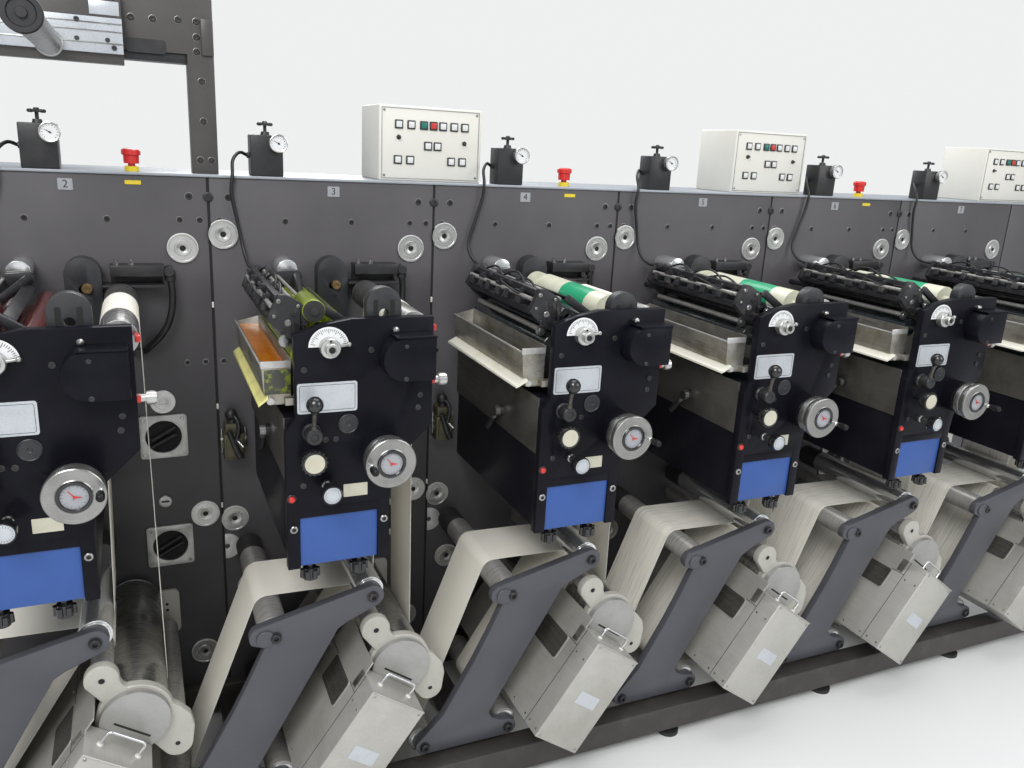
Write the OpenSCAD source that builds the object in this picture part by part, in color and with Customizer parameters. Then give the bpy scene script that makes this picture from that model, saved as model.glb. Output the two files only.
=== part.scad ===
// Narrow web offset printing press: a row of like printing units on one long machine wall.
// Millimetres, +Z up. The origin is on the floor, under the middle of the whole row.
// A bay is drawn in its own frame: x runs right from the bay's left seam, heights count from
// the datum line near the wall's top, and distances out are measured from the wall's front.

/* [Row] */
// Distance from one bay to the next
bay_pitch = 560; // [540:1:640]
// Width of the closing strip at each end of the row
end_strip = 220; // [210:1:300]

/* [Wall] */
// Thickness of a wall plate
wall_t = 25; // [15:1:40]
// Width of the seam between two wall plates
seam_gap = 6; // [2:1:12]
// Drop of the wall plates' top below the datum line
wall_drop = 5; // [3:1:8]
// Depth of the housing behind the wall's front face
housing_depth = 300; // [260:1:400]
// Thickness of the rear and end panels
panel_t = 3; // [2:0.5:6]
// Thickness of the top shelf
shelf_t = 14; // [10:1:20]
// How far the shelf's edge stands out of the wall
shelf_lip = 4; // [0:1:10]
// Diameter of the turned bearing caps on the wall
cap_d = 70; // [50:1:72]
// Thickness of the turned bearing caps
cap_t = 5; // [2:1:10]
// Diameter of the dark hole in a bearing cap
cap_hole_d = 14; // [8:1:20]
// Side of the square cable flanges
flange_side = 110; // [90:1:120]
// Opening of the cable flanges
flange_hole_d = 84; // [50:1:86]
// Thickness of the cable flanges
flange_t = 8; // [4:1:12]

/* [Base] */
// Height of the base rails
rail_h = 72; // [50:1:80]
// Width of the base rails
rail_w = 60; // [40:1:64]
// Distance of the front rail's face from the wall
rail_out = 535; // [532:1:600]
// Height of the cross members between the rails
cross_h = 40; // [20:1:48]
// Width of the cross members
cross_w = 60; // [40:1:90]
// Diameter of a levelling foot
foot_d = 60; // [40:1:60]
// Height of a levelling foot
foot_h = 28; // [20:1:60]
// Gap between the base rail and the arm plates above it
arm_clear = 11; // [9:1:60]

/* [Printing unit] */
// Distance of the front plate's face from the wall
plate_out = 545; // [540:1:560]
// Thickness of the front plate
plate_t = 22; // [12:1:30]
// Height of the plate's straight top edge
plate_top = -232; // [-236:1:-228]
// Right edge of the plate
plate_right = 382; // [370:1:390]
// Lower edge of the plate between its legs
plate_foot = -620; // [-640:1:-612]
// Lower end of the plate's legs
leg_foot = -754; // [-780:1:-752]
// Width of a leg
leg_w = 25; // [15:1:30]
// Left side of the unit's closed body
body_left = 82; // [80:1:90]
// Right side of the unit's closed body
body_right = 294; // [270:1:298]
// Top of the closed body
body_top = -432; // [-440:1:-425]
// Height at which the stainless side panel ends
side_panel_foot = -565; // [-600:1:-540]
// Thickness of the stainless side panel
side_panel_t = 3; // [1:0.5:6]
// Setback of the blue panel from the front plate's face
blue_setback = 4; // [0:1:10]
// Radius of the round side cover
cover_r = 56; // [40:1:56]
// How far the side cover stands out of the front plate
cover_h = 47; // [30:1:60]

/* [Cylinders and rollers] */
// Radius of the plate cylinder
plate_cyl_r = 36; // [30:0.5:36]
// Radius of the impression cylinder
impression_r = 34; // [28:0.5:34]
// Diameter of the cylinder journals
journal_d = 20; // [14:1:24]
// Radius of the web rollers on the arm plates
web_roller_r = 32; // [24:1:34]
// Radius of the cooling drum
drum_r = 65; // [55:1:67]
// Radius of the small rollers of the lamp unit
lamp_roller_r = 22; // [15:1:24]
// Diameter of the roller shafts
shaft_d = 18; // [12:1:24]
// Width of the paper web
web_width = 170; // [120:1:300]
// Distance of the web's near edge from the wall
web_out = 365; // [340:1:440]
// Thickness that stands for the paper web
web_t = 1; // [0.6:0.1:1.4]

/* [Arms and lamp units] */
// Distance of the arm plate's face from the wall
arm_out = 490; // [485:1:500]
// Thickness of the arm plate
arm_t = 22; // [12:1:30]
// Distance of the lamp casting's face from the wall
casting_out = 500; // [496:1:510]
// Thickness of the lamp casting
casting_t = 22; // [12:1:30]
// Radius of the round cover on the casting
round_cover_r = 68; // [60:1:70]
// Thickness of the round cover
round_cover_t = 16; // [8:1:20]
// Length of the lamp box along its lean
lamp_box_len = 276; // [240:1:280]
// Width of the lamp box across its lean
lamp_box_w = 144; // [120:1:150]
// Distance of the lamp box's face from the wall
lamp_box_out = 610; // [580:1:630]
// Lean of the lamp box from upright, in degrees
lamp_lean = 35.5; // [30:0.5:37]

/* [Controls] */
// Diameter of the handwheel
handwheel_d = 104; // [80:1:110]
// Distance of the handwheel's face from the wall
handwheel_out = 630; // [620:1:640]
// Width of the handwheel's rim
handwheel_w = 42; // [30:1:50]
// Diameter of the position dial in the handwheel
dial_d = 58; // [40:1:60]
// Length of the crank handle
crank_len = 40; // [20:1:50]
// Diameter of the crank handle
crank_d = 15; // [10:1:20]
// Diameter of the lever's ball knob
ball_d = 34; // [24:1:36]
// Length of the throw-on lever from hub to ball
lever_len = 70; // [50:1:72]
// Diameter of the large knob
big_knob_d = 44; // [30:1:48]

/* [Top of the machine] */
// Width of a control box
box_w = 280; // [240:1:300]
// Height of a control box
box_h = 187; // [150:1:220]
// Depth of a control box
box_depth = 180; // [120:1:200]
// Width of the regulator block
regulator_w = 75; // [50:1:80]
// Height of the regulator block
regulator_h = 96; // [70:1:110]
// Width of a gantry column
column_w = 58; // [40:1:80]
// Height of the gantry columns
column_h = 263; // [200:1:320]
// Height of the gantry beam
beam_h = 122; // [80:1:140]
// Diameter of the air hoses
hose_d = 8; // [6:0.5:10]
// Diameter of the emergency stop's head
stop_d = 40; // [30:1:44]
// Travel of the emergency stop's head
stop_travel = 5; // [3:0.5:6]

/* [Hidden] */
$fn = 64;

// Clearances
run_clear = 0.05;
seat_gap = 0.3;

// Row
bay_count = 6;
bays = [0 : bay_count - 1];
box_bays = [1, 3, 5];
stop_bays = [0, 2, 4];
row_left = -end_strip;
row_right = bay_count * bay_pitch + end_strip;
crank_out = handwheel_out + crank_len;
row_mid_x = (row_left + row_right) / 2;
row_mid_out = (crank_out - housing_depth) / 2;

// Printing unit
plate_back = plate_out - plate_t;
plate_left = 102;
leg_left = body_left;
leg_right = body_right;
blue_left = leg_left + leg_w + seat_gap;
blue_right = leg_right - leg_w - seat_gap;
body_front = plate_back - seat_gap;
cover_axis = [plate_right - cover_r, -329];
cap_axis_z = -232;

// Axes of the cylinders and rollers: across and up
plate_axis = [284, -250];
impression_axis = [359, -267];
fountain_axis = [128, -322];
transfer_axis = [170, -300];
form_axis = [212, -272];
rider_axis = [160, -256];
distributor_axis = [112, -236];
ink_pivot = [122, -268];
tube_axis = [183, -215];
stub_axis = [165, -203];
arm_top_left = [60, -939];
arm_top_right = [274, -879];
arm_low_left = [-154, -1317];
arm_low_right = [68, -1317];
arm_bow = [399, -1249];
arm_bow_r = 375;
handle_drop = 62;
drum_axis = [335, -1060];
lamp_top_axis = [279.5, -961];
lamp_low_axis = [412, -1143];

// Heights: the base stands under the arm plates, and the datum on the base
arm_end_r = 22;
wall_top = -wall_drop;
shelf_top = wall_top + shelf_t;
rail_top = arm_low_left[1] - arm_end_r - arm_clear;
rail_foot = rail_top - rail_h;
datum_height = foot_h - rail_foot;

// Controls on the front plate
wheel_axis = [274, -510];
lever_axis = [132, -457];
big_knob_axis = [132, -504];
small_knob_axis = [163, -573];
scale_axis = [168, -285];
crank_turn = [-80, -75, 5, -20, -15, -25];

// Points on an arc around a centre, from one angle to another
function arc_points(c, r, from, to, n) =
    [for (i = [0 : n]) c + r * [cos(from + (to - from) * i / n), sin(from + (to - from) * i / n)]];

// Outline of a rectangle with round corners, centred
function round_rect(w, h, r) = concat(
    arc_points([w / 2 - r, h / 2 - r], r, 0, 90, 4),
    arc_points([r - w / 2, h / 2 - r], r, 90, 180, 4),
    arc_points([r - w / 2, r - h / 2], r, 180, 270, 4),
    arc_points([w / 2 - r, r - h / 2], r, 270, 360, 4));

// Puts a bay's own frame into the row
module row() {
    translate([-row_mid_x, row_mid_out, datum_height]) children();
}

module in_bays(list) {
    for (b = list) translate([b * bay_pitch, 0, 0]) children();
}

// A plate parallel to the wall between two distances out from it
module slab(from, to) {
    translate([0, -from, 0]) rotate([90, 0, 0]) linear_extrude(height = to - from) children();
}

// A round bar square to the wall between two distances out from it
module rod(axis, from, to, d) {
    translate([axis[0], -from, axis[1]]) rotate([90, 0, 0]) cylinder(d = d, h = to - from);
}

// A box from its left, lower, near corner distances
module block(x, out, z, size) {
    translate([x, -out, z]) cube(size);
}

/* Base and housing */

module base_rails() {
    color("#3b3735") row() {
        for (out = [rail_out, rail_w / 2, rail_w - housing_depth])
            block(row_left, out, rail_foot, [row_right - row_left, rail_w, rail_h]);
    }
}

module cross_members() {
    front_span = rail_out - rail_w - rail_w / 2;
    rear_span = housing_depth - rail_w - rail_w / 2;
    color("#353230") row() for (b = [0 : bay_count]) {
        block(b * bay_pitch - cross_w / 2, rail_out - rail_w, rail_foot, [cross_w, front_span, cross_h]);
        block(b * bay_pitch - cross_w / 2, -rail_w / 2, rail_foot, [cross_w, rear_span, cross_h]);
    }
}

module levelling_feet() {
    stem_d = foot_d * 0.4;
    pad_h = foot_h * 0.4;
    rows = [rail_out - rail_w / 2, rail_w / 2 - housing_depth];
    color("#1c1c1e") row() for (b = [0 : bay_count], out = rows)
        translate([b * bay_pitch, -out, -datum_height]) {
            cylinder(d = foot_d, h = pad_h);
            cylinder(d = stem_d, h = foot_h);
        }
}

module wall_plates() {
    h = wall_top - rail_top;
    color("#57534f") row() {
        for (b = bays)
            block(b * bay_pitch + seam_gap / 2, 0, rail_top, [bay_pitch - seam_gap, wall_t, h]);
        for (x = [row_left, bay_count * bay_pitch + seam_gap / 2])
            block(x, 0, rail_top, [end_strip - seam_gap / 2, wall_t, h]);
    }
}

module bearing_cap(axis) {
    slab(0, cap_t) intersection() {
        translate(axis) difference() {
            circle(d = cap_d);
            circle(d = cap_hole_d);
        }
        side = axis[0] > 0 ? seam_gap / 2 : seam_gap / 2 - bay_pitch;
        translate([side, axis[1] - cap_d]) square([bay_pitch - seam_gap, 2 * cap_d]);
    }
}

module wall_caps() {
    color("#c9c9c6") row() {
        in_bays(bays) {
            bearing_cap([30, -129]);
            bearing_cap([30, -870]);
            bearing_cap([8, -948]);
            bearing_cap([65, -1073]);
        }
        in_bays([1 : bay_count]) {
            bearing_cap([-62, -162]);
            bearing_cap([-42, -847]);
            bearing_cap([-60, -1250]);
        }
    }
}

module cable_flanges() {
    color("#d8d8d4") row() in_bays(bays) {
        for (z = [-627, -923])
            slab(0, flange_t) translate([430, z]) difference() {
                polygon(round_rect(flange_side, flange_side, 8));
                circle(d = flange_hole_d);
            }
        slab(0, flange_t) translate([424, -800]) difference() {
            circle(d = 30);
            square([18, 5], center = true);
        }
    }
}

module top_shelf() {
    color("#aab4c6") row()
        block(row_left, shelf_lip, wall_top, [row_right - row_left, housing_depth + shelf_lip, shelf_t]);
}

module rear_panels() {
    h = wall_top - rail_top;
    w = bay_pitch - seam_gap;
    color("#8d8f92") row() for (b = bays)
        block(b * bay_pitch + seam_gap / 2, panel_t - housing_depth, rail_top, [w, panel_t, h]);
}

module end_panels() {
    h = wall_top - rail_top;
    depth = housing_depth - wall_t;
    strip = end_strip - seam_gap / 2;
    color("#7d7f82") row() {
        block(row_left, -wall_t, rail_top, [panel_t, depth, h]);
        block(row_right - panel_t, -wall_t, rail_top, [panel_t, depth, h]);
        block(row_left + panel_t, panel_t - housing_depth, rail_top, [strip - panel_t, panel_t, h]);
        block(row_right - strip, panel_t - housing_depth, rail_top, [strip - panel_t, panel_t, h]);
    }
}

/* Printing unit */

module front_plate_outline() {
    polygon(concat(
        [[plate_left, -262], [152, -243]],
        [[215, plate_top], [plate_right, plate_top], [plate_right, -458]],
        arc_points([plate_right - 90, plate_foot + 92], 92, -6, -80, 5),
        [[leg_right, plate_foot], [leg_right, leg_foot], [leg_right - leg_w, leg_foot]],
        [[leg_right - leg_w, plate_foot], [leg_left + leg_w, plate_foot]],
        [[leg_left + leg_w, leg_foot], [leg_left, leg_foot], [leg_left, -455], [plate_left, -428]]));
}

module unit_front_plates() {
    bores = [wheel_axis, lever_axis];
    color("#1b1b22") row() in_bays(bays) difference() {
        slab(plate_back, plate_out) front_plate_outline();
        for (axis = bores)
            rod(axis, plate_back - 1, plate_out + 1, shaft_d + 2 * run_clear);
    }
}

// Arched block with a journal bore and two slots beside it
module bearing_block(axis, r, z_arch, z_foot, from, to, bore_d) {
    difference() {
        slab(from, to) polygon(concat(
            arc_points([axis[0], z_arch], r, 0, 180, 12),
            [[axis[0] - r, z_foot], [axis[0] + r, z_foot]]));
        rod(axis, from - 1, to + 1, bore_d);
        children();
    }
}

module cylinder_bearings() {
    bore_d = journal_d + 2 * run_clear;
    front_from = plate_back - 26;
    front_to = plate_back;
    color("#2b2d33") row() in_bays(bays) {
        bearing_block(plate_axis, 38, -217, -330, 0, 45, bore_d);
        bearing_block(plate_axis, 36, cap_axis_z, -292, front_from, front_to, bore_d)
            for (side = [-1, 1])
                slab(front_from - 1, front_from + 8)
                    translate([plate_axis[0] + side * 25, cap_axis_z - 12]) square([10, 40], center = true);
    }
}

module unit_bodies() {
    left = body_left + side_panel_t;
    color("#202127") row() in_bays(bays)
        slab(0, body_front) polygon([
            [left, body_top], [body_right - 12, body_top], [body_right - 2, body_top - 12],
            [body_right - 2, leg_foot + 4], [leg_left + 6, leg_foot + 4], [leg_left + 6, side_panel_foot],
            [left, side_panel_foot]]);
}

module unit_side_panels() {
    color("#8f8f8a") row() in_bays(bays)
        block(body_left, body_front, side_panel_foot, [side_panel_t, body_front, body_top - side_panel_foot]);
}

module blue_panels() {
    color("#2f6bd0") row() in_bays(bays)
        slab(body_front, plate_out - blue_setback)
            translate([blue_left, leg_foot + 4]) square([blue_right - blue_left, plate_foot - leg_foot - 8]);
}

module side_covers() {
    color("#1a1a20") row() in_bays(bays) {
        slab(plate_out, plate_out + cover_h) {
            translate(cover_axis) circle(r = cover_r);
            translate(cover_axis - [0, cover_r]) square([cover_r, 2 * cover_r]);
        }
        slab(plate_out, plate_out + cover_h + 4)
            translate([cover_axis[0] - 20, cover_axis[1] + cover_r]) square([cover_r + 24, 4]);
    }
}

module scale_dials() {
    color("#cfcfd0") row() in_bays(bays) {
        slab(plate_out, plate_out + 2) translate(scale_axis) intersection() {
            circle(r = 40);
            translate([-40, 0]) square([80, 40]);
        }
        rod(scale_axis, plate_out + 2, plate_out + 24, 38);
        rod(scale_axis, plate_out + 24, plate_out + 36, 24);
    }
}

// A hand knob with round lobes about its rim, its axis along Z
module star_knob(r, h, lobes) {
    linear_extrude(height = h) {
        circle(r = r * 0.8);
        for (i = [0 : lobes - 1]) rotate(i * 360 / lobes) translate([r * 0.75, 0]) circle(r = r * 0.25);
    }
}

module unit_knobs() {
    color("#1d1d20") row() in_bays(bays) {
        rod(big_knob_axis, plate_out, plate_out + 18, big_knob_d * 0.6);
        rod(big_knob_axis, plate_out + 18, plate_out + 45, big_knob_d);
        rod(small_knob_axis, plate_out, plate_out + 36, 14);
        rod(small_knob_axis, plate_out + 36, plate_out + 60, 32);
        rod([91, -596], plate_out, plate_out + 8, 10);
        translate([plate_right, -plate_out + plate_t / 2, -368]) rotate([0, 90, 0]) {
            cylinder(d = 18, h = 16);
            translate([0, 0, 16]) cylinder(d = 26, h = 18);
        }
        for (x = [129, 232]) translate([x, -body_front + 30, leg_foot - 34]) {
            star_knob(20, 22, 5);
            cylinder(d = 10, h = 38);
        }
    }
}

module side_levers() {
    color("#a8a59c") row() in_bays(bays) translate([body_left, -325, -520]) rotate([0, -90, 0]) {
        cylinder(d = 26, h = 22);
        translate([0, 0, 11]) rotate([0, 90, 135]) cylinder(d = 9, h = 88);
        translate([0, 0, 11]) rotate([0, 90, 135]) translate([0, 0, 40]) cylinder(d = 13, h = 40);
    }
}

/* Cylinders and inking */

module impression_cylinders() {
    color("#b9b9b6") row() in_bays(bays) {
        rod(impression_axis, 0, plate_back, journal_d + 4);
        rod(impression_axis, 70, plate_back - 40, 2 * impression_r);
    }
}

module plate_cylinder(b) {
    color("#d9dccf") row() in_bays([b]) {
        rod(plate_axis, 10, plate_back - 6, journal_d);
        rod(plate_axis, 130, 455, 2 * plate_cyl_r);
        rod(plate_axis, 60, 84, 2 * plate_cyl_r - 6);
    }
}

module ink_frame_outline() {
    polygon(concat(
        [[58, -238], [82, -190], [96, -190], [130, -204]],
        arc_points(tube_axis, 14, 90, -45, 4),
        [[176, -244], [148, -274], [112, -284], [84, -264]]));
}

module ink_frames() {
    near = plate_back - 39;
    far = 96;
    t = 16;
    color("#24252a") row() in_bays(bays) {
        for (from = [far, near])
            difference() {
                slab(from, from + t) ink_frame_outline();
                rod(ink_pivot, from - 1, from + t + 1, shaft_d - 2 + 2 * run_clear);
            }
        rod(ink_pivot, 0, plate_back, shaft_d - 2);
        rod(tube_axis, far + t, near, 20);
        block(76, near, -204, [12, near - far - t, 12]);
        block(62, near, -246, [10, near - far - t, 14]);
        for (i = [0 : 2]) block(66, far + 110 + i * 110, -238, [24, 34, 34]);
    }
}

module ink_roller(axis, r, from, to, shaft_from, shaft_to) {
    rod(axis, shaft_from, shaft_to, shaft_d - 4);
    rod(axis, from, to, 2 * r);
}

module ink_rollers() {
    near = plate_back - 39;
    far = 96 + 16;
    color("#8aa03c") row() in_bays(bays) {
        ink_roller(fountain_axis, 24, 60, near, 0, plate_back);
        ink_roller(transfer_axis, 20, 60, near, 0, plate_back);
        ink_roller(form_axis, 22, 60, near, 0, plate_back);
        ink_roller(rider_axis, 18, far + 6, near - 6, far, near);
        ink_roller(distributor_axis, 14, far + 6, near - 6, far, near);
    }
}

module ink_fountains() {
    near = plate_back - 20;
    far = 60;
    wall = 3;
    right = fountain_axis[0] - 24 - 3;
    color("#a9a9a4") row() in_bays(bays) {
        difference() {
            slab(far, near) polygon([[45, -330], [right, -316], [right, -388], [49, -388]]);
            slab(far + wall, near - wall)
                polygon([[45 + wall, -320], [right - wall, -300], [right - wall, -370], [52 + wall, -385]]);
        }
        slab(far, near) polygon([[53, -388], [right, -388], [right, -410], [56, -408]]);
        slab(far + 20, near - 10) polygon([[10, -404], [54, -392], [54, -394], [10, -406]]);
        slab(near, plate_back) translate([right - 14, -406]) square([40, 14]);
        rod([right - 20, -399], 0, far, 16);
    }
}

module wall_brackets() {
    color("#2a2a2d") row() in_bays(bays) {
        block(340, 60, -245, [120, 60, 50]);
        block(345, 52, -195, [90, 40, 8]);
        rod([466, -212], 20, 48, 20);
        translate([466, -34, -335]) cylinder(d = 14, h = 123);
    }
}

module connectors() {
    color("#6d6a4c") row() in_bays(bays) {
        block(8, 55, -690, [50, 55, 100]);
        block(14, 48, -590, [38, 42, 22]);
        translate([33, -24, -568]) cylinder(d = 18, h = 26);
    }
}

/* Arm plates and web rollers */

module arm_outline() {
    polygon(concat(
        arc_points(arm_top_right, 26, 105, -60, 6),
        arc_points(arm_bow, arm_bow_r, 114, 174, 6),
        [[38, -1272]],
        arc_points(arm_low_right, arm_end_r, 60, -90, 6),
        arc_points(arm_low_left, arm_end_r, -90, -210, 6),
        [[-117, -1247], [-44, -1077], [26, -965]],
        arc_points(arm_top_left, 33, 190, 108, 4)));
}

module arm_plates() {
    color("#5f5d66") row() in_bays(bays)
        slab(arm_out - arm_t, arm_out) arm_outline();
}

module web_roller(axis) {
    to = arm_out - arm_t;
    rod(axis, 0, to, shaft_d);
    rod(axis, 30, to - 8, 2 * web_roller_r);
}

module web_rollers() {
    color("#77777a") row() in_bays(bays)
        for (axis = [arm_top_left, arm_low_left, arm_low_right]) web_roller(axis);
}

module chrome_rollers() {
    color("#d7d9dc") row() in_bays(bays) {
        web_roller(arm_top_right);
        rod(stub_axis, 0, 90, 48);
    }
}

// A circle that the web runs round: centre, radius of the web's middle and turning sense
function web_circle(axis, r, turn) = [axis, r + seat_gap + web_t / 2, turn];

function shifted(list, x) = [for (c = list) [c[0] + [x, 0], c[1], c[2]]];

// Direction of the straight run from one circle to the next
function run_angle(a, b) = let (d = b[0] - a[0])
    atan2(d[1], d[0]) - asin((b[2] * b[1] - a[2] * a[1]) / norm(d));

function turned(from, to, turn) = turn > 0
    ? (to < from ? to + 360 : to)
    : (to > from ? to - 360 : to);

// Points round one circle, outside it, so that each chord touches it from outside
function wrap_points(c, from, to, side) = let (
    end = turned(from, to, c[2]),
    n = ceil(abs(end - from) / 13),
    step = (end - from) / n,
    r = (c[2] * c[1] - side * web_t / 2) / cos(step / 2))
    [for (i = [0 : n - 1]) let (a = from + (i + 0.5) * step) c[0] + r * [sin(a), -cos(a)]];

bay_circles = [
    web_circle(arm_low_left, web_roller_r, 1),
    web_circle(arm_top_left, web_roller_r, -1),
    web_circle(arm_top_right, web_roller_r, 1),
    web_circle(impression_axis, impression_r, -1),
    web_circle(drum_axis, drum_r, -1),
    web_circle(lamp_top_axis, lamp_roller_r, 1),
    web_circle(arm_low_right, web_roller_r, 1)];
row_circles = [for (b = bays) each shifted(bay_circles, b * bay_pitch)];
last_circle = len(row_circles) - 1;
tail = 30;

function web_side(side) = concat(
    [row_circles[0][0] + [-tail, -row_circles[0][1] + side * web_t / 2]],
    [for (i = [0 : last_circle]) each wrap_points(row_circles[i],
        i == 0 ? 0 : run_angle(row_circles[i - 1], row_circles[i]),
        i == last_circle ? 0 : run_angle(row_circles[i], row_circles[i + 1]), side)],
    [row_circles[last_circle][0] + [tail, -row_circles[last_circle][1] + side * web_t / 2]]);

function reversed(list) = [for (i = [len(list) - 1 : -1 : 0]) list[i]];

module paper_web() {
    color("#efeadb") row()
        slab(web_out - web_width, web_out) polygon(concat(web_side(1), reversed(web_side(-1))));
}

/* Lamp unit */

// The lamp box's own plane: the drum's axis is its zero, its length runs down the lean
module lamp_plane() {
    translate(drum_axis) rotate(-lamp_lean) children();
}

module casting_outline() {
    polygon(concat(
        arc_points(lamp_top_axis, 33, 200, 10, 8),
        [[322, -985], [356, -998]],
        arc_points(drum_axis, 96, 50, 8, 3),
        arc_points(lamp_low_axis, 31, 20, -140, 6)));
}

module lamp_castings() {
    top = -(drum_r + web_t + seat_gap + 8);
    color("#dcdad2") row() in_bays(bays)
        slab(casting_out - casting_t, casting_out) {
            difference() {
                union() {
                    casting_outline();
                    translate(drum_axis) circle(r = round_cover_r + 8);
                }
                lamp_plane() translate([-200, top - 200]) square([400, 200]);
            }
        }
}

module lamp_covers() {
    color("#c4c5c6") row() in_bays(bays) difference() {
        rod(drum_axis, casting_out, casting_out + round_cover_t, 2 * round_cover_r);
        slab(casting_out + round_cover_t - 4, casting_out + round_cover_t + 1)
            translate(drum_axis + [0, 30]) square([46, 12], center = true);
    }
}

module cooling_drums() {
    to = casting_out - casting_t;
    color("#a5a6a8") row() in_bays(bays) {
        rod(drum_axis, 0, to, shaft_d + 8);
        rod(drum_axis, 30, to - 8, 2 * drum_r);
    }
}

module lamp_rollers() {
    to = casting_out - casting_t;
    color("#98999b") row() in_bays(bays)
        for (axis = [lamp_top_axis, lamp_low_axis]) {
            rod(axis, 0, to, shaft_d);
            rod(axis, 30, to - 8, 2 * lamp_roller_r);
        }
}

module lamp_boxes() {
    top_far = -(drum_r + web_t + seat_gap + 9);
    top_near = -34;
    foot = top_near - lamp_box_len;
    left = -lamp_box_w / 2 - 14;
    join = casting_out + round_cover_t + seat_gap;
    color("#c9c8c2") row() in_bays(bays) {
        slab(60, join + 4) lamp_plane() translate([left, foot]) square([lamp_box_w, top_far - foot]);
        slab(join, lamp_box_out) lamp_plane() translate([left, foot]) square([lamp_box_w, top_near - foot]);
    }
}

// A point on the lamp box's face, x across it, below its top edge
function lamp_handle_point(x) = drum_axis
    + x * [cos(lamp_lean), -sin(lamp_lean)]
    - handle_drop * [sin(lamp_lean), cos(lamp_lean)];

module lamp_handles() {
    post_d = 8;
    wire_d = 6;
    span = 80;
    reach = 34;
    start = lamp_handle_point(-span / 2);
    color("#d5d6d8") row() in_bays(bays) {
        for (x = [-span / 2, span / 2])
            rod(lamp_handle_point(x), lamp_box_out, lamp_box_out + reach, post_d);
        translate([start[0], -lamp_box_out - reach + post_d / 2, start[1]])
            rotate([0, 90 + lamp_lean, 0]) cylinder(d = wire_d, h = span);
    }
}

/* Things on the shelf */

module control_boxes() {
    color("#e2e1da") row() in_bays(box_bays)
        block(420, -35, shelf_top, [box_w, box_depth, box_h]);
}

module control_buttons() {
    rows = [[0.76, 7], [0.54, 2], [0.38, 4]];
    side = 16;
    color("#d8d8d8") row() in_bays(box_bays) for (r = rows, i = [0 : r[1] - 1]) {
        x = 420 + box_w * (0.2 + 0.6 * (i + 0.5) / r[1]);
        z = shelf_top + box_h * r[0];
        block(x - side / 2, -31, z - side / 2, [side, 4, side]);
    }
}

function regulator_x(b) = b % 2 == 0 ? 218 : 139;

module regulators() {
    color("#232427") row() for (b = bays) translate([b * bay_pitch + regulator_x(b), 0, 0]) {
        block(-regulator_w / 2, -20, shelf_top, [regulator_w, 60, regulator_h]);
        translate([0, 50, shelf_top + regulator_h]) {
            cylinder(d = 12, h = 30);
            translate([0, 0, 22]) star_knob(17, 10, 6);
        }
        rod([25, shelf_top + regulator_h - 14], -20, 8, 43);
    }
}

// The way of a bay's air hose: across, out from the wall and up
function hose_route(b) = let (
    x = regulator_x(b),
    touch = hose_d / 2 + seat_gap,
    down = b % 2 == 0 ? 96 : 72)
    [[x - regulator_w / 2 - touch, -46, 56], [x - regulator_w / 2 - 24, -30, 62],
    [x - regulator_w / 2 - 42, -6, 44], [x - regulator_w / 2 - 46, shelf_lip + 9, 12],
    [x - regulator_w / 2 - 50, 12, -30], [(x - 88 + down) / 2, 10, -90],
    [down, 12, -150], [down + 6, 34, -186], [down + 10, 66, -198], [88, 96 - touch, -198]];

module air_hoses() {
    color("#151517") row() for (b = bays) translate([b * bay_pitch, 0, 0]) {
        way = hose_route(b);
        for (i = [0 : len(way) - 2]) hull() for (p = [way[i], way[i + 1]])
            translate([p[0], -p[1], p[2]]) sphere(d = hose_d, $fn = 8);
    }
}

module gantry_frame() {
    depth = 60;
    color("#2a2a2e") row() {
        for (x = [0, bay_pitch])
            block(x - column_w / 2, -30, shelf_top, [column_w, depth, column_h]);
        block(-column_w / 2, -30, shelf_top + column_h, [bay_pitch + column_w, depth, beam_h]);
    }
}

module gantry_roller() {
    x = bay_pitch - 320;
    z = shelf_top + column_h + beam_h / 2 + 20;
    color("#c9cacc") row() {
        block(x - 60, 14, shelf_top + column_h + 12, [200, 44, beam_h - 24]);
        rod([x, z], 14, 60, 70);
        rod([x, z], 60, 400, 62);
    }
}

module stop_bases() {
    color("#e8c83a") row() in_bays(stop_bays) translate([400, 42, shelf_top]) difference() {
        cylinder(d = stop_d + 6, h = 12);
        translate([0, 0, 4]) cylinder(d = 22 + 2 * run_clear, h = 10);
    }
}

module stop_head(i) {
    color("#d02820") row() in_bays([stop_bays[i]]) translate([400, 42, shelf_top]) {
        translate([0, 0, 4 + stop_travel + seat_gap]) cylinder(d = 22, h = 20);
        translate([0, 0, 12 + stop_travel + seat_gap]) cylinder(d = stop_d, h = 16);
    }
}

/* Handwheels and levers */

module handwheel(b) {
    rim_from = handwheel_out - handwheel_w;
    color("#c5c6c8") row() in_bays([b]) {
        rod(wheel_axis, plate_back + 2, rim_from + 1, shaft_d);
        rod(wheel_axis, plate_out + seat_gap, rim_from + 1, 50);
        rod(wheel_axis, rim_from, rim_from + 18, handwheel_d - 6);
        rod(wheel_axis, rim_from + 18, rim_from + 24, handwheel_d - 16);
        rod(wheel_axis, rim_from + 24, handwheel_out - 4, handwheel_d);
        rod(wheel_axis, handwheel_out - 4, handwheel_out, dial_d);
        a = crank_turn[b];
        reach = handwheel_d / 2 - crank_d / 2 - 2;
        rod(wheel_axis + reach * [cos(a), sin(a)], handwheel_out - 5, crank_out, crank_d);
    }
}

module throw_lever(b) {
    hub_to = plate_out + 40;
    color("#26262a") row() in_bays([b]) {
        rod(lever_axis, plate_back + 2, hub_to, shaft_d);
        rod(lever_axis, plate_out + seat_gap, hub_to, 34);
        translate([lever_axis[0], -(hub_to - 12), lever_axis[1]]) rotate([12, 0, 0]) {
            cylinder(d = 10, h = lever_len);
            translate([0, 0, lever_len]) sphere(d = ball_d);
        }
    }
}

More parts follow.
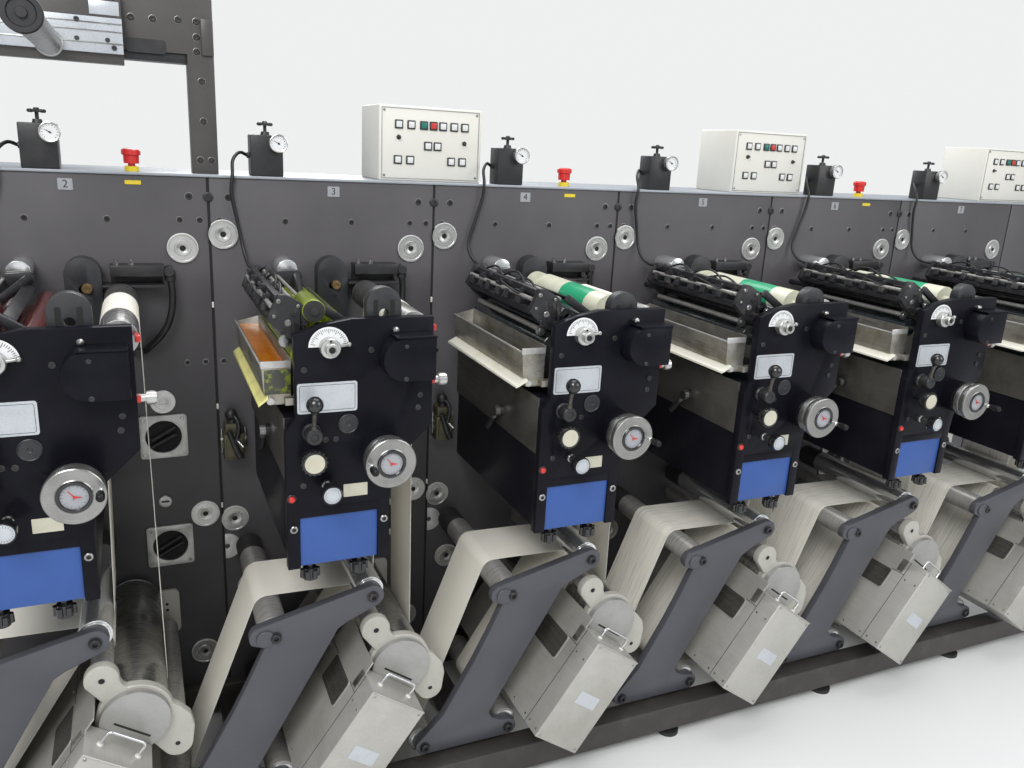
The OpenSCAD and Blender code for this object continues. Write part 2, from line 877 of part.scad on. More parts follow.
base_rails();
cross_members();
levelling_feet();
wall_plates();
wall_caps();
cable_flanges();
top_shelf();
rear_panels();
end_panels();
unit_front_plates();
cylinder_bearings();
unit_bodies();
unit_side_panels();
blue_panels();
side_covers();
scale_dials();
unit_knobs();
side_levers();
impression_cylinders();
ink_frames();
ink_rollers();
ink_fountains();
wall_brackets();
connectors();
arm_plates();
web_rollers();
chrome_rollers();
lamp_castings();
lamp_covers();
cooling_drums();
lamp_rollers();
lamp_boxes();
lamp_handles();
paper_web();
control_boxes();
control_buttons();
regulators();
gantry_frame();
gantry_roller();
stop_bases();
air_hoses();
handwheel(0);  // handwheel_1
handwheel(1);  // handwheel_2
handwheel(2);  // handwheel_3
handwheel(3);  // handwheel_4
handwheel(4);  // handwheel_5
handwheel(5);  // handwheel_6
throw_lever(0);  // throw_lever_1
throw_lever(1);  // throw_lever_2
throw_lever(2);  // throw_lever_3
throw_lever(3);  // throw_lever_4
throw_lever(4);  // throw_lever_5
throw_lever(5);  // throw_lever_6
plate_cylinder(2);  // plate_cylinder_3
plate_cylinder(3);  // plate_cylinder_4
plate_cylinder(4);  // plate_cylinder_5
plate_cylinder(5);  // plate_cylinder_6
stop_head(0);  // stop_head_1
stop_head(1);  // stop_head_2
stop_head(2);  // stop_head_3
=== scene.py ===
"""Looks of a narrow web offset printing press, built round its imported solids.

Sizes are in millimetres in a bay's own frame, as in the part's source: x runs right from the
bay's left seam, out is the distance from the wall's front, z counts from the datum line.
"""
import logging
import math
from dataclasses import dataclass, field
from enum import Enum
from typing import Callable, Iterable, Sequence

import bmesh
import bpy
from mathutils import Matrix, Vector


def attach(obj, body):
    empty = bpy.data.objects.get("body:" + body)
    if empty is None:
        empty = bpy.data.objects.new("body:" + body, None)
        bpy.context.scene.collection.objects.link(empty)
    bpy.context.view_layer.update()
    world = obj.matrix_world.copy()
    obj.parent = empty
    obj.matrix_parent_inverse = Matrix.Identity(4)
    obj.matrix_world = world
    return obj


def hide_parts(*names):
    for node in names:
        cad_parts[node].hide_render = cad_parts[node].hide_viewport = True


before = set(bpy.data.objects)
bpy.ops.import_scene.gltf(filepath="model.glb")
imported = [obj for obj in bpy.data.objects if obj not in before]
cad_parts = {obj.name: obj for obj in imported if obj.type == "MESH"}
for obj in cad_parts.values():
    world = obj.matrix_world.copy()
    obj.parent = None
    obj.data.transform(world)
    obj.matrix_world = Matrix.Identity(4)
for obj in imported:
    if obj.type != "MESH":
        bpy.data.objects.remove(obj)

LOG = logging.getLogger("press")

PITCH = 560.0
MIDDLE_X = 1680.0
MIDDLE_OUT = 185.0
DATUM = 1450.0
ALL_BAYS = (0, 1, 2, 3, 4, 5)
BOX_BAYS = (1, 3, 5)
STOP_BAYS = (0, 2, 4)
PLATE_BAYS = (2, 3, 4, 5)
OPEN_BAYS = (0, 1)
CRANK_TURNS = (12, 180, -5, -20, -15, -25)
REGULATOR_X = (218, 139)
TURNED_GRAIN = 4.0
BUMP_HEIGHT = 0.0006
COAT_ROUGHNESS = 0.15
MERGE = 0.01
NODE_MERGE = 0.00002
FLAT_ANGLE = 1.0
SHARP_ANGLE = 32.0
ON_AXIS = 0.01

Colour = tuple[float, float, float]
Point = tuple[float, float]
Place = tuple[float, float, float]
Mover = Callable[[int, Place], Place]


def to_row(bay: float) -> Matrix:
    """Matrix that takes a bay's own millimetres to the row frame in metres."""
    shift = Matrix.Translation((bay * PITCH - MIDDLE_X, MIDDLE_OUT, DATUM))
    return Matrix.Scale(0.001, 4) @ shift


def turned_about(axis: Point, angle: float, point: Point) -> Point:
    """A point turned about an axis in the plane of the wall.

    Args:
        axis: Centre of the turn, across and up.
        angle: Turn in degrees, from x towards z.
        point: Point measured from the axis.

    Returns:
        The point in the bay's own frame, across and up.
    """
    c, s = math.cos(math.radians(angle)), math.sin(math.radians(angle))
    return axis[0] + point[0] * c - point[1] * s, axis[1] + point[0] * s + point[1] * c


def spoke(
    axis: Point, turn: float, start: float, end: float, half: float, tip: float | None = None
) -> list[Point]:
    """Corners of a narrow mark that points away from an axis.

    Args:
        axis: The axis, across and up.
        turn: Way of the mark in degrees.
        start: Distance from the axis at which it starts.
        end: Distance from the axis at which it ends.
        half: Half its width at its start.
        tip: Half its width at its end, where that differs.

    Returns:
        Its four corners.
    """
    tip = half if tip is None else tip
    corners = ((start, -half), (end, -tip), (end, tip), (start, half))
    return [turned_about(axis, turn, corner) for corner in corners]


class Layout(Enum):
    """Which way the fine marks of a finish run."""

    EVEN = (1.0, 1.0, 1.0)
    ALONG_OUT = (1.0, 0.03, 1.0)
    ROUND_ROLLER = (0.03, 1.0, 0.03)
    TURNED = (0.6, 30.0, 1.0)


@dataclass
class Graph:
    """A material's nodes, added and joined by name."""

    made: bpy.types.Material

    def feed(self, node: bpy.types.Node, inputs: dict[str | int, object]) -> None:
        """Sets a node's inputs.

        Args:
            node: The node.
            inputs: Value of each input, or the output that feeds it.
        """
        for name, value in inputs.items():
            if isinstance(value, bpy.types.NodeSocket):
                self.made.node_tree.links.new(value, node.inputs[name])
            else:
                node.inputs[name].default_value = value

    def add(self, kind: str, inputs: dict[str | int, object], **choices: str) -> bpy.types.Node:
        """Adds a node.

        Args:
            kind: Its type, without the first word that all share.
            inputs: Value of each input, or the output that feeds it.
            choices: Its data type, operation or blend.

        Returns:
            The node.
        """
        node = self.made.node_tree.nodes.new("ShaderNode" + kind)
        for name, value in choices.items():
            setattr(node, name, value)
        self.feed(node, inputs)
        return node

    def mixed(self, one: object, two: object, factor: object) -> bpy.types.NodeSocket:
        """Mixes two colours.

        Args:
            one: First colour, or the output that feeds it.
            two: Second colour, or the output that feeds it.
            factor: Share of the second, or the output that feeds it.

        Returns:
            The output that carries the mixed colour.
        """
        mix = self.add("Mix", {"A": one, "B": two, "Factor": factor}, data_type="RGBA")
        return mix.outputs["Result"]

    def mapped(self, value: bpy.types.NodeSocket, low: float, high: float, to_low: float = 0.0,
               to_high: float = 1.0) -> bpy.types.NodeSocket:
        """Maps a range of values to another one.

        Args:
            value: The output to map.
            low: Foot of its range.
            high: Top of its range.
            to_low: What the foot becomes.
            to_high: What the top becomes.

        Returns:
            The output that carries the mapped value.
        """
        node = self.add("MapRange", {"Value": value, "From Min": low, "From Max": high,
                                     "To Min": to_low, "To Max": to_high})
        return node.outputs["Result"]

    def joined(self, operation: str, one: object, two: object) -> bpy.types.NodeSocket:
        """Joins two values by an operation.

        Args:
            operation: The operation's name.
            one: First value, or the output that feeds it.
            two: Second value, or the output that feeds it.

        Returns:
            The output that carries the result.
        """
        return self.add("Math", {0: one, 1: two}, operation=operation).outputs[0]

    def spot(self) -> bpy.types.NodeSocket:
        """The output that carries the place on the object."""
        return self.add("TexCoord", {}).outputs["Object"]


@dataclass(frozen=True)
class Finish:
    """A surface: its colours, its gloss, and the size and way of its marks."""

    name: str
    colour: Colour
    other: Colour
    metallic: float = 0.0
    roughness: float = 0.5
    spread: float = 0.1
    blotch: float = 7.0
    amount: tuple[float, float] = (0.45, 0.75)
    grain: float = 700.0
    bump: float = 0.08
    layout: Layout = Layout.EVEN
    coat: float = 0.0
    shine: float = 0.5
    slot: str = ""

    def material(self) -> bpy.types.Material:
        """The finish as a material, made once.

        Returns:
            The material, with its colour, roughness and bump from its nodes.
        """
        made = bpy.data.materials.get("look_" + self.name)
        if made:
            return made
        made = bpy.data.materials.new("look_" + self.name)
        made.use_nodes = True
        graph = Graph(made)
        turned = self.layout is Layout.TURNED
        place = graph.add("TexCoord", {})
        stretch = graph.add("Mapping", {
            "Vector": place.outputs["UV" if turned else "Object"], "Scale": self.layout.value})
        fine = graph.add("TexNoise", {
            "Vector": stretch.outputs["Vector"], "Scale": TURNED_GRAIN if turned else self.grain,
            "Detail": 3.0}).outputs["Fac"]
        broad = graph.add("TexNoise", {
            "Vector": place.outputs["Object"], "Scale": self.blotch, "Detail": 6.0,
            "Roughness": 0.62}).outputs["Fac"]
        half = self.spread / 2
        marks = graph.mapped(fine, 0.3, 0.7, self.roughness - half, self.roughness + half)
        colour = graph.mixed((*self.colour, 1), (*self.other, 1), graph.mapped(broad, *self.amount))
        shade = graph.mapped(fine, 0.25, 0.75, 1.0 - self.spread, 1.0)
        tone = graph.add("Mix", {"A": colour, "B": shade, "Factor": 1.0},
                         data_type="RGBA", blend_type="MULTIPLY")
        lift = graph.add("Bump", {"Strength": self.bump, "Distance": BUMP_HEIGHT, "Height": fine})
        graph.feed(made.node_tree.nodes["Principled BSDF"], {
            "Metallic": self.metallic, "Coat Weight": self.coat, "Coat Roughness": COAT_ROUGHNESS,
            "Specular IOR Level": self.shine, "Roughness": marks,
            "Base Color": self.paint(graph, tone.outputs["Result"]),
            "Normal": lift.outputs["Normal"]})
        return made

    def paint(self, graph: Graph, tone: bpy.types.NodeSocket) -> bpy.types.NodeSocket:
        """The output that carries the finish's last colour, here its plain one."""
        return tone


@dataclass(frozen=True)
class Banded(Finish):
    """A finish with a band of another colour across the way out from the wall."""

    band: Colour = (0.0, 0.3, 0.15)
    low: float = 0.0
    high: float = 0.1

    def paint(self, graph: Graph, tone: bpy.types.NodeSocket) -> bpy.types.NodeSocket:
        """Mixes the band in between its two ends.

        Args:
            graph: Nodes of the material.
            tone: The colour without the band.

        Returns:
            The colour with it.
        """
        out = graph.add("SeparateXYZ", {"Vector": graph.spot()}).outputs["Y"]
        above = graph.joined("GREATER_THAN", out, self.low)
        below = graph.joined("LESS_THAN", out, self.high)
        return graph.mixed(tone, (*self.band, 1), graph.joined("MULTIPLY", above, below))


@dataclass(frozen=True)
class Streaked(Finish):
    """Paper that carries fine streaks along its run, past a place in the row."""

    ink: Colour = (0.25, 0.26, 0.28)
    start: float = -0.16

    def paint(self, graph: Graph, tone: bpy.types.NodeSocket) -> bpy.types.NodeSocket:
        """Mixes the streaks in past the start.

        Args:
            graph: Nodes of the material.
            tone: The colour without streaks.

        Returns:
            The colour with them.
        """
        spot = graph.spot()
        across = graph.add("SeparateXYZ", {"Vector": spot}).outputs["X"]
        past = graph.joined("GREATER_THAN", across, self.start)
        stretch = graph.add("Mapping", {"Vector": spot, "Scale": (9.0, 420.0, 9.0)})
        lines = graph.add("TexNoise", {
            "Vector": stretch.outputs["Vector"], "Scale": 1.0, "Detail": 4.0}).outputs["Fac"]
        share = graph.joined("MULTIPLY", past, graph.mapped(lines, 0.52, 0.72, 0.0, 0.6))
        return graph.mixed(tone, (*self.ink, 1), share)


@dataclass(frozen=True)
class Mesh(Finish):
    """Dark perforated sheet: rows of small holes, painted near-black as the shade behind them."""

    hole: float = 4.0

    def paint(self, graph: Graph, tone: bpy.types.NodeSocket) -> bpy.types.NodeSocket:
        """Paints the holes near-black, as painted shade behind the perforations.

        Args:
            graph: Nodes of the material.
            tone: The sheet's colour.

        Returns:
            The colour with the holes painted near-black as shade.
        """
        cells = graph.add("TexVoronoi", {
            "Vector": graph.spot(), "Scale": 1000.0 / self.hole, "Randomness": 0.25})
        sheet = graph.mapped(cells.outputs["Distance"], 0.28, 0.4)
        # Painted shade: near-black dots stand for the shade behind the perforations.
        return graph.mixed((0.008, 0.008, 0.008, 1), tone, sheet)


WALL = Finish("wall_paint", (0.074, 0.069, 0.074), (0.058, 0.054, 0.058), roughness=0.5,
              spread=0.16, blotch=5.0, grain=1300.0, bump=0.35, slot="wall_paint")
# Near-black for the seams between plates, and painted shade: the dark discs and plates that stand
# for the shade inside holes, slots, sockets and openings.
SEAM_AND_HOLE_SHADE = Finish("seam_black_and_hole_shade", (0.008, 0.008, 0.008), (0.012, 0.012, 0.012), roughness=0.8,
              slot="foot_black")
UNIT = Finish("unit_black", (0.0065, 0.0065, 0.010), (0.011, 0.011, 0.0165), roughness=0.3,
              spread=0.14, blotch=9.0, grain=900.0, bump=0.12, coat=0.02, shine=0.09,
              slot="unit_black")
OXIDE = Finish("bearing_black", (0.022, 0.024, 0.029), (0.045, 0.043, 0.04), roughness=0.42,
               spread=0.2, blotch=22.0, grain=500.0, bump=0.3, slot="bearing_black")
WORN = Finish("worn_black", (0.014, 0.014, 0.017), (0.075, 0.068, 0.055), roughness=0.45,
              spread=0.25, blotch=38.0, amount=(0.55, 0.75), grain=420.0, bump=0.3,
              slot="ink_frame_black")
STAINLESS = Finish("stainless", (0.16, 0.155, 0.145), (0.085, 0.080, 0.070), metallic=0.8,
                   roughness=0.4, spread=0.22, blotch=11.0, grain=520.0, bump=0.12,
                   layout=Layout.ALONG_OUT, slot="stainless")
TROUGH = Finish("fountain_steel", (0.42, 0.40, 0.36), (0.24, 0.21, 0.13), metallic=0.8,
                roughness=0.38, spread=0.25, blotch=16.0, grain=480.0, bump=0.12,
                layout=Layout.ALONG_OUT, slot="fountain_steel")
BLUE = Finish("blue_paint", (0.027, 0.086, 0.315), (0.022, 0.073, 0.272), roughness=0.45,
              spread=0.12, blotch=6.0, grain=1200.0, bump=0.12, slot="blue_paint")
TURNED = Finish("turned_aluminium", (0.66, 0.66, 0.64), (0.56, 0.56, 0.54), metallic=0.9,
                roughness=0.33, spread=0.3, blotch=20.0, bump=0.35, layout=Layout.TURNED,
                slot="turned_aluminium")
WHEEL = Finish("wheel_aluminium", (0.41, 0.405, 0.39), (0.31, 0.305, 0.29), metallic=0.9,
               roughness=0.32, spread=0.34, blotch=18.0, bump=0.4, layout=Layout.TURNED,
               slot="handwheel_aluminium")
CAP = Finish("cap_aluminium", (0.78, 0.78, 0.765), (0.62, 0.62, 0.60), metallic=0.45,
             roughness=0.4, spread=0.2, blotch=30.0, grain=400.0, bump=0.2,
             slot="turned_aluminium")
FLANGE = Finish("flange_zinc", (0.62, 0.62, 0.60), (0.42, 0.41, 0.38), metallic=0.55,
                roughness=0.42, spread=0.2, blotch=26.0, grain=500.0, bump=0.15,
                slot="flange_white")
SHELF = Finish("shelf_paint", (0.33, 0.355, 0.385), (0.28, 0.305, 0.335), roughness=0.36,
               spread=0.12, blotch=5.0, grain=1000.0, bump=0.08, coat=0.1, slot="shelf_paint")
PANEL = Finish("panel_grey", (0.27, 0.28, 0.29), (0.22, 0.225, 0.235), roughness=0.5,
               spread=0.12, blotch=4.0, grain=1200.0, bump=0.2, slot="panel_grey")
RAIL = Finish("rail_paint", (0.040, 0.036, 0.033), (0.075, 0.066, 0.057), roughness=0.5,
              spread=0.2, blotch=14.0, amount=(0.5, 0.8), grain=800.0, bump=0.3,
              slot="rail_paint")
RUBBER = Finish("foot_rubber", (0.016, 0.016, 0.017), (0.03, 0.029, 0.028), roughness=0.7,
                blotch=40.0, grain=600.0, bump=0.3, slot="foot_black")
HOSE = Finish("hose_black", (0.010, 0.010, 0.011), (0.018, 0.018, 0.018), roughness=0.45,
              blotch=60.0, grain=900.0, bump=0.1, slot="hose_black")
KNOB = Finish("knob_black", (0.010, 0.010, 0.011), (0.017, 0.017, 0.018), roughness=0.22,
              spread=0.08, blotch=60.0, grain=900.0, bump=0.04, coat=0.35, slot="knob_black")
GRIP = Finish("grip_black", (0.008, 0.008, 0.009), (0.014, 0.014, 0.015), roughness=0.36,
              spread=0.08, blotch=60.0, grain=900.0, bump=0.04, shine=0.25, slot="knob_black")
STEEL = Finish("cylinder_steel", (0.44, 0.44, 0.43), (0.30, 0.29, 0.27), metallic=0.92,
               roughness=0.3, spread=0.28, blotch=12.0, grain=520.0, bump=0.12,
               layout=Layout.ROUND_ROLLER, slot="cylinder_steel")
ROLLER = Finish("roller_steel", (0.43, 0.42, 0.40), (0.31, 0.30, 0.285), metallic=0.5,
                roughness=0.36, spread=0.26, blotch=9.0, grain=520.0, bump=0.12,
                layout=Layout.ROUND_ROLLER, slot="roller_steel")
CHROME = Finish("polished_steel", (0.74, 0.75, 0.755), (0.6, 0.6, 0.6), metallic=0.85,
                roughness=0.2, spread=0.1, blotch=14.0, grain=600.0, bump=0.03,
                layout=Layout.ROUND_ROLLER, slot="polished_steel")
ARM = Finish("arm_paint", (0.073, 0.074, 0.086), (0.062, 0.062, 0.072), roughness=0.45,
             spread=0.14, blotch=7.0, grain=1100.0, bump=0.25, slot="arm_paint")
CASTING = Finish("casting_white", (0.44, 0.428, 0.382), (0.358, 0.345, 0.30), roughness=0.4,
                 spread=0.12, blotch=13.0, grain=700.0, bump=0.16, coat=0.08,
                 slot="casting_white")
SHEET = Finish("lamp_sheet", (0.50, 0.49, 0.453), (0.408, 0.398, 0.357), metallic=0.42,
               roughness=0.4, spread=0.16, blotch=8.0, grain=520.0, bump=0.1,
               layout=Layout.ALONG_OUT, slot="lamp_aluminium")
LID = Finish("lamp_lid", (0.41, 0.405, 0.39), (0.345, 0.34, 0.325), metallic=0.5,
             roughness=0.38, spread=0.16, blotch=16.0, grain=600.0, bump=0.1,
             slot="lamp_aluminium")
GRILLE = Mesh("lamp_grille", (0.085, 0.08, 0.07), (0.05, 0.047, 0.042), metallic=0.3,
              roughness=0.6, blotch=30.0, slot="lamp_aluminium")
PAPER = Streaked("paper", (0.86, 0.83, 0.74), (0.82, 0.785, 0.69), roughness=0.62,
                 spread=0.06, blotch=5.0, grain=900.0, bump=0.05, slot="paper")
BOX = Finish("box_white", (0.70, 0.69, 0.63), (0.66, 0.645, 0.58), roughness=0.5,
             spread=0.08, blotch=5.0, grain=1500.0, bump=0.25, slot="box_white")
BEZEL = Finish("bezel_black", (0.02, 0.02, 0.021), (0.03, 0.03, 0.03), roughness=0.4,
               blotch=60.0, slot="button_mixed")
BUTTON = Finish("button_white", (0.68, 0.69, 0.68), (0.62, 0.63, 0.62), roughness=0.35,
                spread=0.06, blotch=60.0, slot="button_mixed")
BUTTON_RED = Finish("button_red", (0.55, 0.035, 0.03), (0.48, 0.03, 0.026), roughness=0.35,
                    blotch=60.0, slot="button_mixed")
BUTTON_GREEN = Finish("button_green", (0.01, 0.16, 0.12), (0.01, 0.13, 0.1), roughness=0.35,
                      blotch=60.0, slot="button_mixed")
BRACKET = Finish("bracket_black", (0.018, 0.018, 0.020), (0.032, 0.031, 0.030), roughness=0.4,
                 spread=0.18, blotch=30.0, grain=700.0, bump=0.2, slot="bracket_black")
OLIVE = Finish("connector_olive", (0.105, 0.098, 0.055), (0.05, 0.046, 0.03), metallic=0.3,
               roughness=0.5, spread=0.2, blotch=30.0, grain=500.0, bump=0.3,
               slot="connector_olive")
GANTRY = Finish("gantry_black", (0.066, 0.061, 0.058), (0.080, 0.074, 0.070), roughness=0.36,
                spread=0.16, blotch=9.0, grain=900.0, bump=0.15, slot="gantry_black")
YELLOW = Finish("stop_yellow", (0.76, 0.59, 0.03), (0.68, 0.51, 0.025), roughness=0.4,
                blotch=40.0, slot="stop_yellow")
GAUGE = Finish("gauge_grey", (0.33, 0.34, 0.36), (0.28, 0.29, 0.31), roughness=0.35,
               spread=0.05, blotch=50.0, bump=0.03, slot="dial_white")
DARK_STEEL = Finish("lever_steel", (0.105, 0.10, 0.09), (0.05, 0.046, 0.04), metallic=0.7,
                    roughness=0.34, spread=0.2, blotch=40.0, slot="bearing_black")
SCREW = Finish("screw_steel", (0.34, 0.33, 0.305), (0.20, 0.19, 0.175), metallic=0.8,
               roughness=0.36, spread=0.2, blotch=60.0, slot="bearing_black")
BRASS = Finish("hub_brass", (0.36, 0.25, 0.12), (0.22, 0.16, 0.09), metallic=0.85,
               roughness=0.35, blotch=30.0, slot="bearing_black")
STAINED = Finish("drip_stained", (0.72, 0.68, 0.26), (0.55, 0.52, 0.18), roughness=0.4,
                 blotch=18.0, slot="box_white")
GREENED = Finish("trough_stained", (0.065, 0.066, 0.055), (0.20, 0.24, 0.035), metallic=0.3,
                 roughness=0.35, blotch=60.0, amount=(0.52, 0.62), slot="fountain_steel")
RED = Finish("stop_red", (0.62, 0.018, 0.014), (0.52, 0.015, 0.012), roughness=0.32,
             spread=0.08, blotch=50.0, bump=0.04, coat=0.3, slot="stop_red")
DIAL = Finish("dial_white", (0.74, 0.75, 0.75), (0.66, 0.67, 0.67), roughness=0.35,
              spread=0.05, blotch=50.0, bump=0.03, slot="dial_white")
LABEL = Finish("plate_silver", (0.55, 0.58, 0.61), (0.47, 0.50, 0.53), metallic=0.35,
               roughness=0.32, spread=0.12, blotch=24.0, grain=500.0, bump=0.05,
               slot="dial_white")
CREAM = Finish("knob_cream", (0.55, 0.53, 0.42), (0.48, 0.46, 0.36), roughness=0.35,
               blotch=30.0, slot="dial_white")
LIME = Finish("ink_lime", (0.235, 0.30, 0.018), (0.17, 0.225, 0.012), roughness=0.22,
              spread=0.12, blotch=20.0, coat=0.3, slot="ink_rubber")
MAROON = Finish("ink_maroon", (0.10, 0.018, 0.018), (0.06, 0.012, 0.012), roughness=0.25,
                spread=0.12, blotch=20.0, coat=0.3, slot="ink_rubber")
ORANGE = Finish("ink_orange", (0.62, 0.20, 0.008), (0.50, 0.12, 0.006), roughness=0.16,
                spread=0.1, blotch=28.0, coat=0.4, slot="ink_rubber")
TEAL = Finish("ink_dark", (0.016, 0.022, 0.024), (0.05, 0.05, 0.045), roughness=0.2,
              spread=0.12, blotch=25.0, coat=0.3, slot="ink_rubber")
DRIP = Finish("drip_sheet", (0.72, 0.70, 0.60), (0.60, 0.56, 0.38), roughness=0.45,
              blotch=12.0, amount=(0.55, 0.8), slot="box_white")
PLATE = Banded("plate_polymer", (0.70, 0.70, 0.55), (0.62, 0.61, 0.47), roughness=0.3,
               spread=0.08, blotch=20.0, coat=0.2, slot="plate_polymer",
               band=(0.015, 0.34, 0.16), low=-0.205, high=-0.075)
FLOOR = Finish("studio_floor", (0.78, 0.78, 0.77), (0.76, 0.76, 0.75), roughness=0.7,
               blotch=0.5)

NODE_FINISH: dict[str, Finish] = {
    "base_rails": RAIL, "cross_members": RAIL, "levelling_feet": RUBBER, "wall_plates": WALL,
    "wall_caps": CAP, "cable_flanges": FLANGE, "top_shelf": SHELF, "rear_panels": PANEL,
    "end_panels": PANEL, "unit_front_plates": UNIT, "cylinder_bearings": OXIDE,
    "unit_bodies": UNIT, "unit_side_panels": STAINLESS, "blue_panels": BLUE,
    "side_covers": UNIT, "scale_dials": TURNED, "unit_knobs": KNOB, "side_levers": STEEL,
    "impression_cylinders": STEEL, "ink_frames": WORN, "ink_rollers": TEAL,
    "ink_fountains": TROUGH, "wall_brackets": BRACKET, "connectors": OLIVE, "arm_plates": ARM,
    "web_rollers": ROLLER, "chrome_rollers": CHROME, "lamp_castings": CASTING,
    "lamp_covers": LID, "cooling_drums": STEEL, "lamp_rollers": ROLLER, "lamp_boxes": SHEET,
    "lamp_handles": CHROME, "paper_web": PAPER, "control_boxes": BOX,
    "control_buttons": BUTTON, "regulators": BRACKET, "gantry_frame": GANTRY,
    "gantry_roller": STEEL, "stop_bases": YELLOW, "air_hoses": HOSE,
}
MOVING_FINISH: dict[str, Finish] = {
    "handwheel": WHEEL, "throw_lever": KNOB, "plate_cylinder": PLATE, "stop_head": RED,
}


def along(x: float, out: float, z: float) -> Vector:
    """A point of a bay from its distance across, out and up."""
    return Vector((x, -out, z))


class Shape:
    """A mesh in a bay's own frame, repeated in the bays that it is made for.

    Each method that adds to the mesh returns the shape, so that calls can follow each other.
    """

    def __init__(self, name: str, finish: Finish) -> None:
        """Starts an empty shape.

        Args:
            name: Name of the finished piece.
            finish: What it is made of.
        """
        self.name = name
        self.finish = finish
        self.mesh = bmesh.new()
        self.layer = self.mesh.loops.layers.uv.new("turned")

    def soften(self, edges: Iterable[bmesh.types.BMEdge], width: float, steps: int) -> None:
        """Bevels edges.

        Args:
            edges: The edges.
            width: Width of the bevel.
            steps: Steps in the bevel.
        """
        bmesh.ops.bevel(
            self.mesh, geom=list(edges), offset=width, offset_type="OFFSET", segments=steps,
            profile=0.5, affect="EDGES", clamp_overlap=True, material=-1,
        )

    def disc(self, axis: Point, low: float, high: float, radius: float,
             top: float | None = None, segments: int = 24) -> "Shape":
        """Adds a round bar or cone square to the wall.

        Args:
            axis: Its axis, across and up.
            low: Distance out at which it starts.
            high: Distance out at which it ends.
            radius: Radius at its start.
            top: Radius at its end, where that differs.
            segments: Sides of the circle.

        Returns:
            The shape.
        """
        spot = Matrix.Translation((axis[0], -(low + high) / 2, axis[1]))
        bmesh.ops.create_cone(
            self.mesh, cap_ends=True, segments=segments, radius1=radius,
            radius2=radius if top is None else top, depth=high - low,
            matrix=spot @ Matrix.Rotation(math.pi / 2, 4, "X"),
        )
        return self

    def turned(self, axis: Point, profile: Sequence[Point], segments: int = 48,
               base: float = 0.0) -> "Shape":
        """Adds a turned piece, its axis square to the wall.

        Args:
            axis: Its axis, across and up.
            profile: Radius of each corner and its distance from the base, from back to front.
            segments: Steps round the axis.
            base: Distance out that the profile counts from.

        Returns:
            The shape.
        """
        start = [self.mesh.verts.new((axis[0] + r, -(base + out), axis[1]))
                 for r, out in profile]
        edges = [self.mesh.edges.new(pair) for pair in zip(start, start[1:])]
        old = set(self.mesh.faces)
        bmesh.ops.spin(
            self.mesh, geom=start + edges, cent=(axis[0], 0, axis[1]), axis=(0, 1, 0),
            angle=2 * math.pi, steps=segments, use_merge=True,
        )
        faces = [f for f in self.mesh.faces if f not in old]
        points = list({v for f in faces for v in f.verts})
        bmesh.ops.remove_doubles(self.mesh, verts=points, dist=MERGE)
        faces = [f for f in self.mesh.faces if f not in old]
        bmesh.ops.recalc_face_normals(self.mesh, faces=faces)
        for face in faces:
            for loop in face.loops:
                x, y, z = loop.vert.co
                spin = math.atan2(z - axis[1], x - axis[0]) / (2 * math.pi)
                reach = math.hypot(x - axis[0], z - axis[1])
                loop[self.layer].uv = (spin, (reach - y) / 100)
        return self

    def plate(self, outline: Sequence[Point], low: float, high: float, bevel: float = 0.0,
              steps: int = 1) -> "Shape":
        """Adds a plate parallel to the wall.

        Args:
            outline: Its corners, across and up.
            low: Distance out of its back.
            high: Distance out of its face.
            bevel: Width of the bevel on all its edges.
            steps: Steps in the bevel.

        Returns:
            The shape.
        """
        corners = [self.mesh.verts.new((x, -low, z)) for x, z in outline]
        face = self.mesh.faces.new(corners)
        made = bmesh.ops.extrude_face_region(self.mesh, geom=[face])["geom"]
        moved = [e for e in made if isinstance(e, bmesh.types.BMVert)]
        bmesh.ops.translate(self.mesh, verts=moved, vec=(0, low - high, 0))
        faces = list({f for v in corners + moved for f in v.link_faces})
        bmesh.ops.recalc_face_normals(self.mesh, faces=faces)
        if bevel:
            self.soften({e for f in faces for e in f.edges}, bevel, steps)
        return self

    def block(self, x: Point, out: Point, z: Point, bevel: float = 0.0,
              lean: float = 0.0) -> "Shape":
        """Adds a box.

        Args:
            x: Its left and right sides.
            out: Its back and front, as distances from the wall.
            z: Its foot and top.
            bevel: Width of the bevel on its edges.
            lean: Turn about its middle in degrees, in the plane of the wall.

        Returns:
            The shape.
        """
        middle = Vector((sum(x) / 2, -sum(out) / 2, sum(z) / 2))
        size = Matrix.Diagonal((x[1] - x[0], out[1] - out[0], z[1] - z[0], 1))
        turn = Matrix.Rotation(math.radians(-lean), 4, "Y")
        made = bmesh.ops.create_cube(
            self.mesh, size=1.0, matrix=Matrix.Translation(middle) @ turn @ size
        )["verts"]
        if bevel:
            self.soften({e for v in made for e in v.link_edges}, bevel, 2)
        return self

    def bar(self, start: Vector, end: Vector, radius: float, top: float | None = None,
            segments: int = 12) -> "Shape":
        """Adds a round bar or cone between two points of the bay.

        Args:
            start: Middle of its start.
            end: Middle of its end.
            radius: Radius at its start.
            top: Radius at its end, where that differs.
            segments: Sides of the circle.

        Returns:
            The shape.
        """
        way = end - start
        turn = way.to_track_quat("Z", "Y").to_matrix().to_4x4()
        bmesh.ops.create_cone(
            self.mesh, cap_ends=True, segments=segments, radius1=radius,
            radius2=radius if top is None else top, depth=way.length,
            matrix=Matrix.Translation((start + end) / 2) @ turn,
        )
        return self

    def level_bar(self, x: float, z: float, out: Point, radius: float,
                  segments: int = 16) -> "Shape":
        """Adds a round bar that runs out from the wall.

        Args:
            x: Its place across.
            z: Its height.
            out: Distances out of its ends.
            radius: Its radius.
            segments: Sides of the circle.

        Returns:
            The shape.
        """
        return self.bar(along(x, out[0], z), along(x, out[1], z), radius, segments=segments)

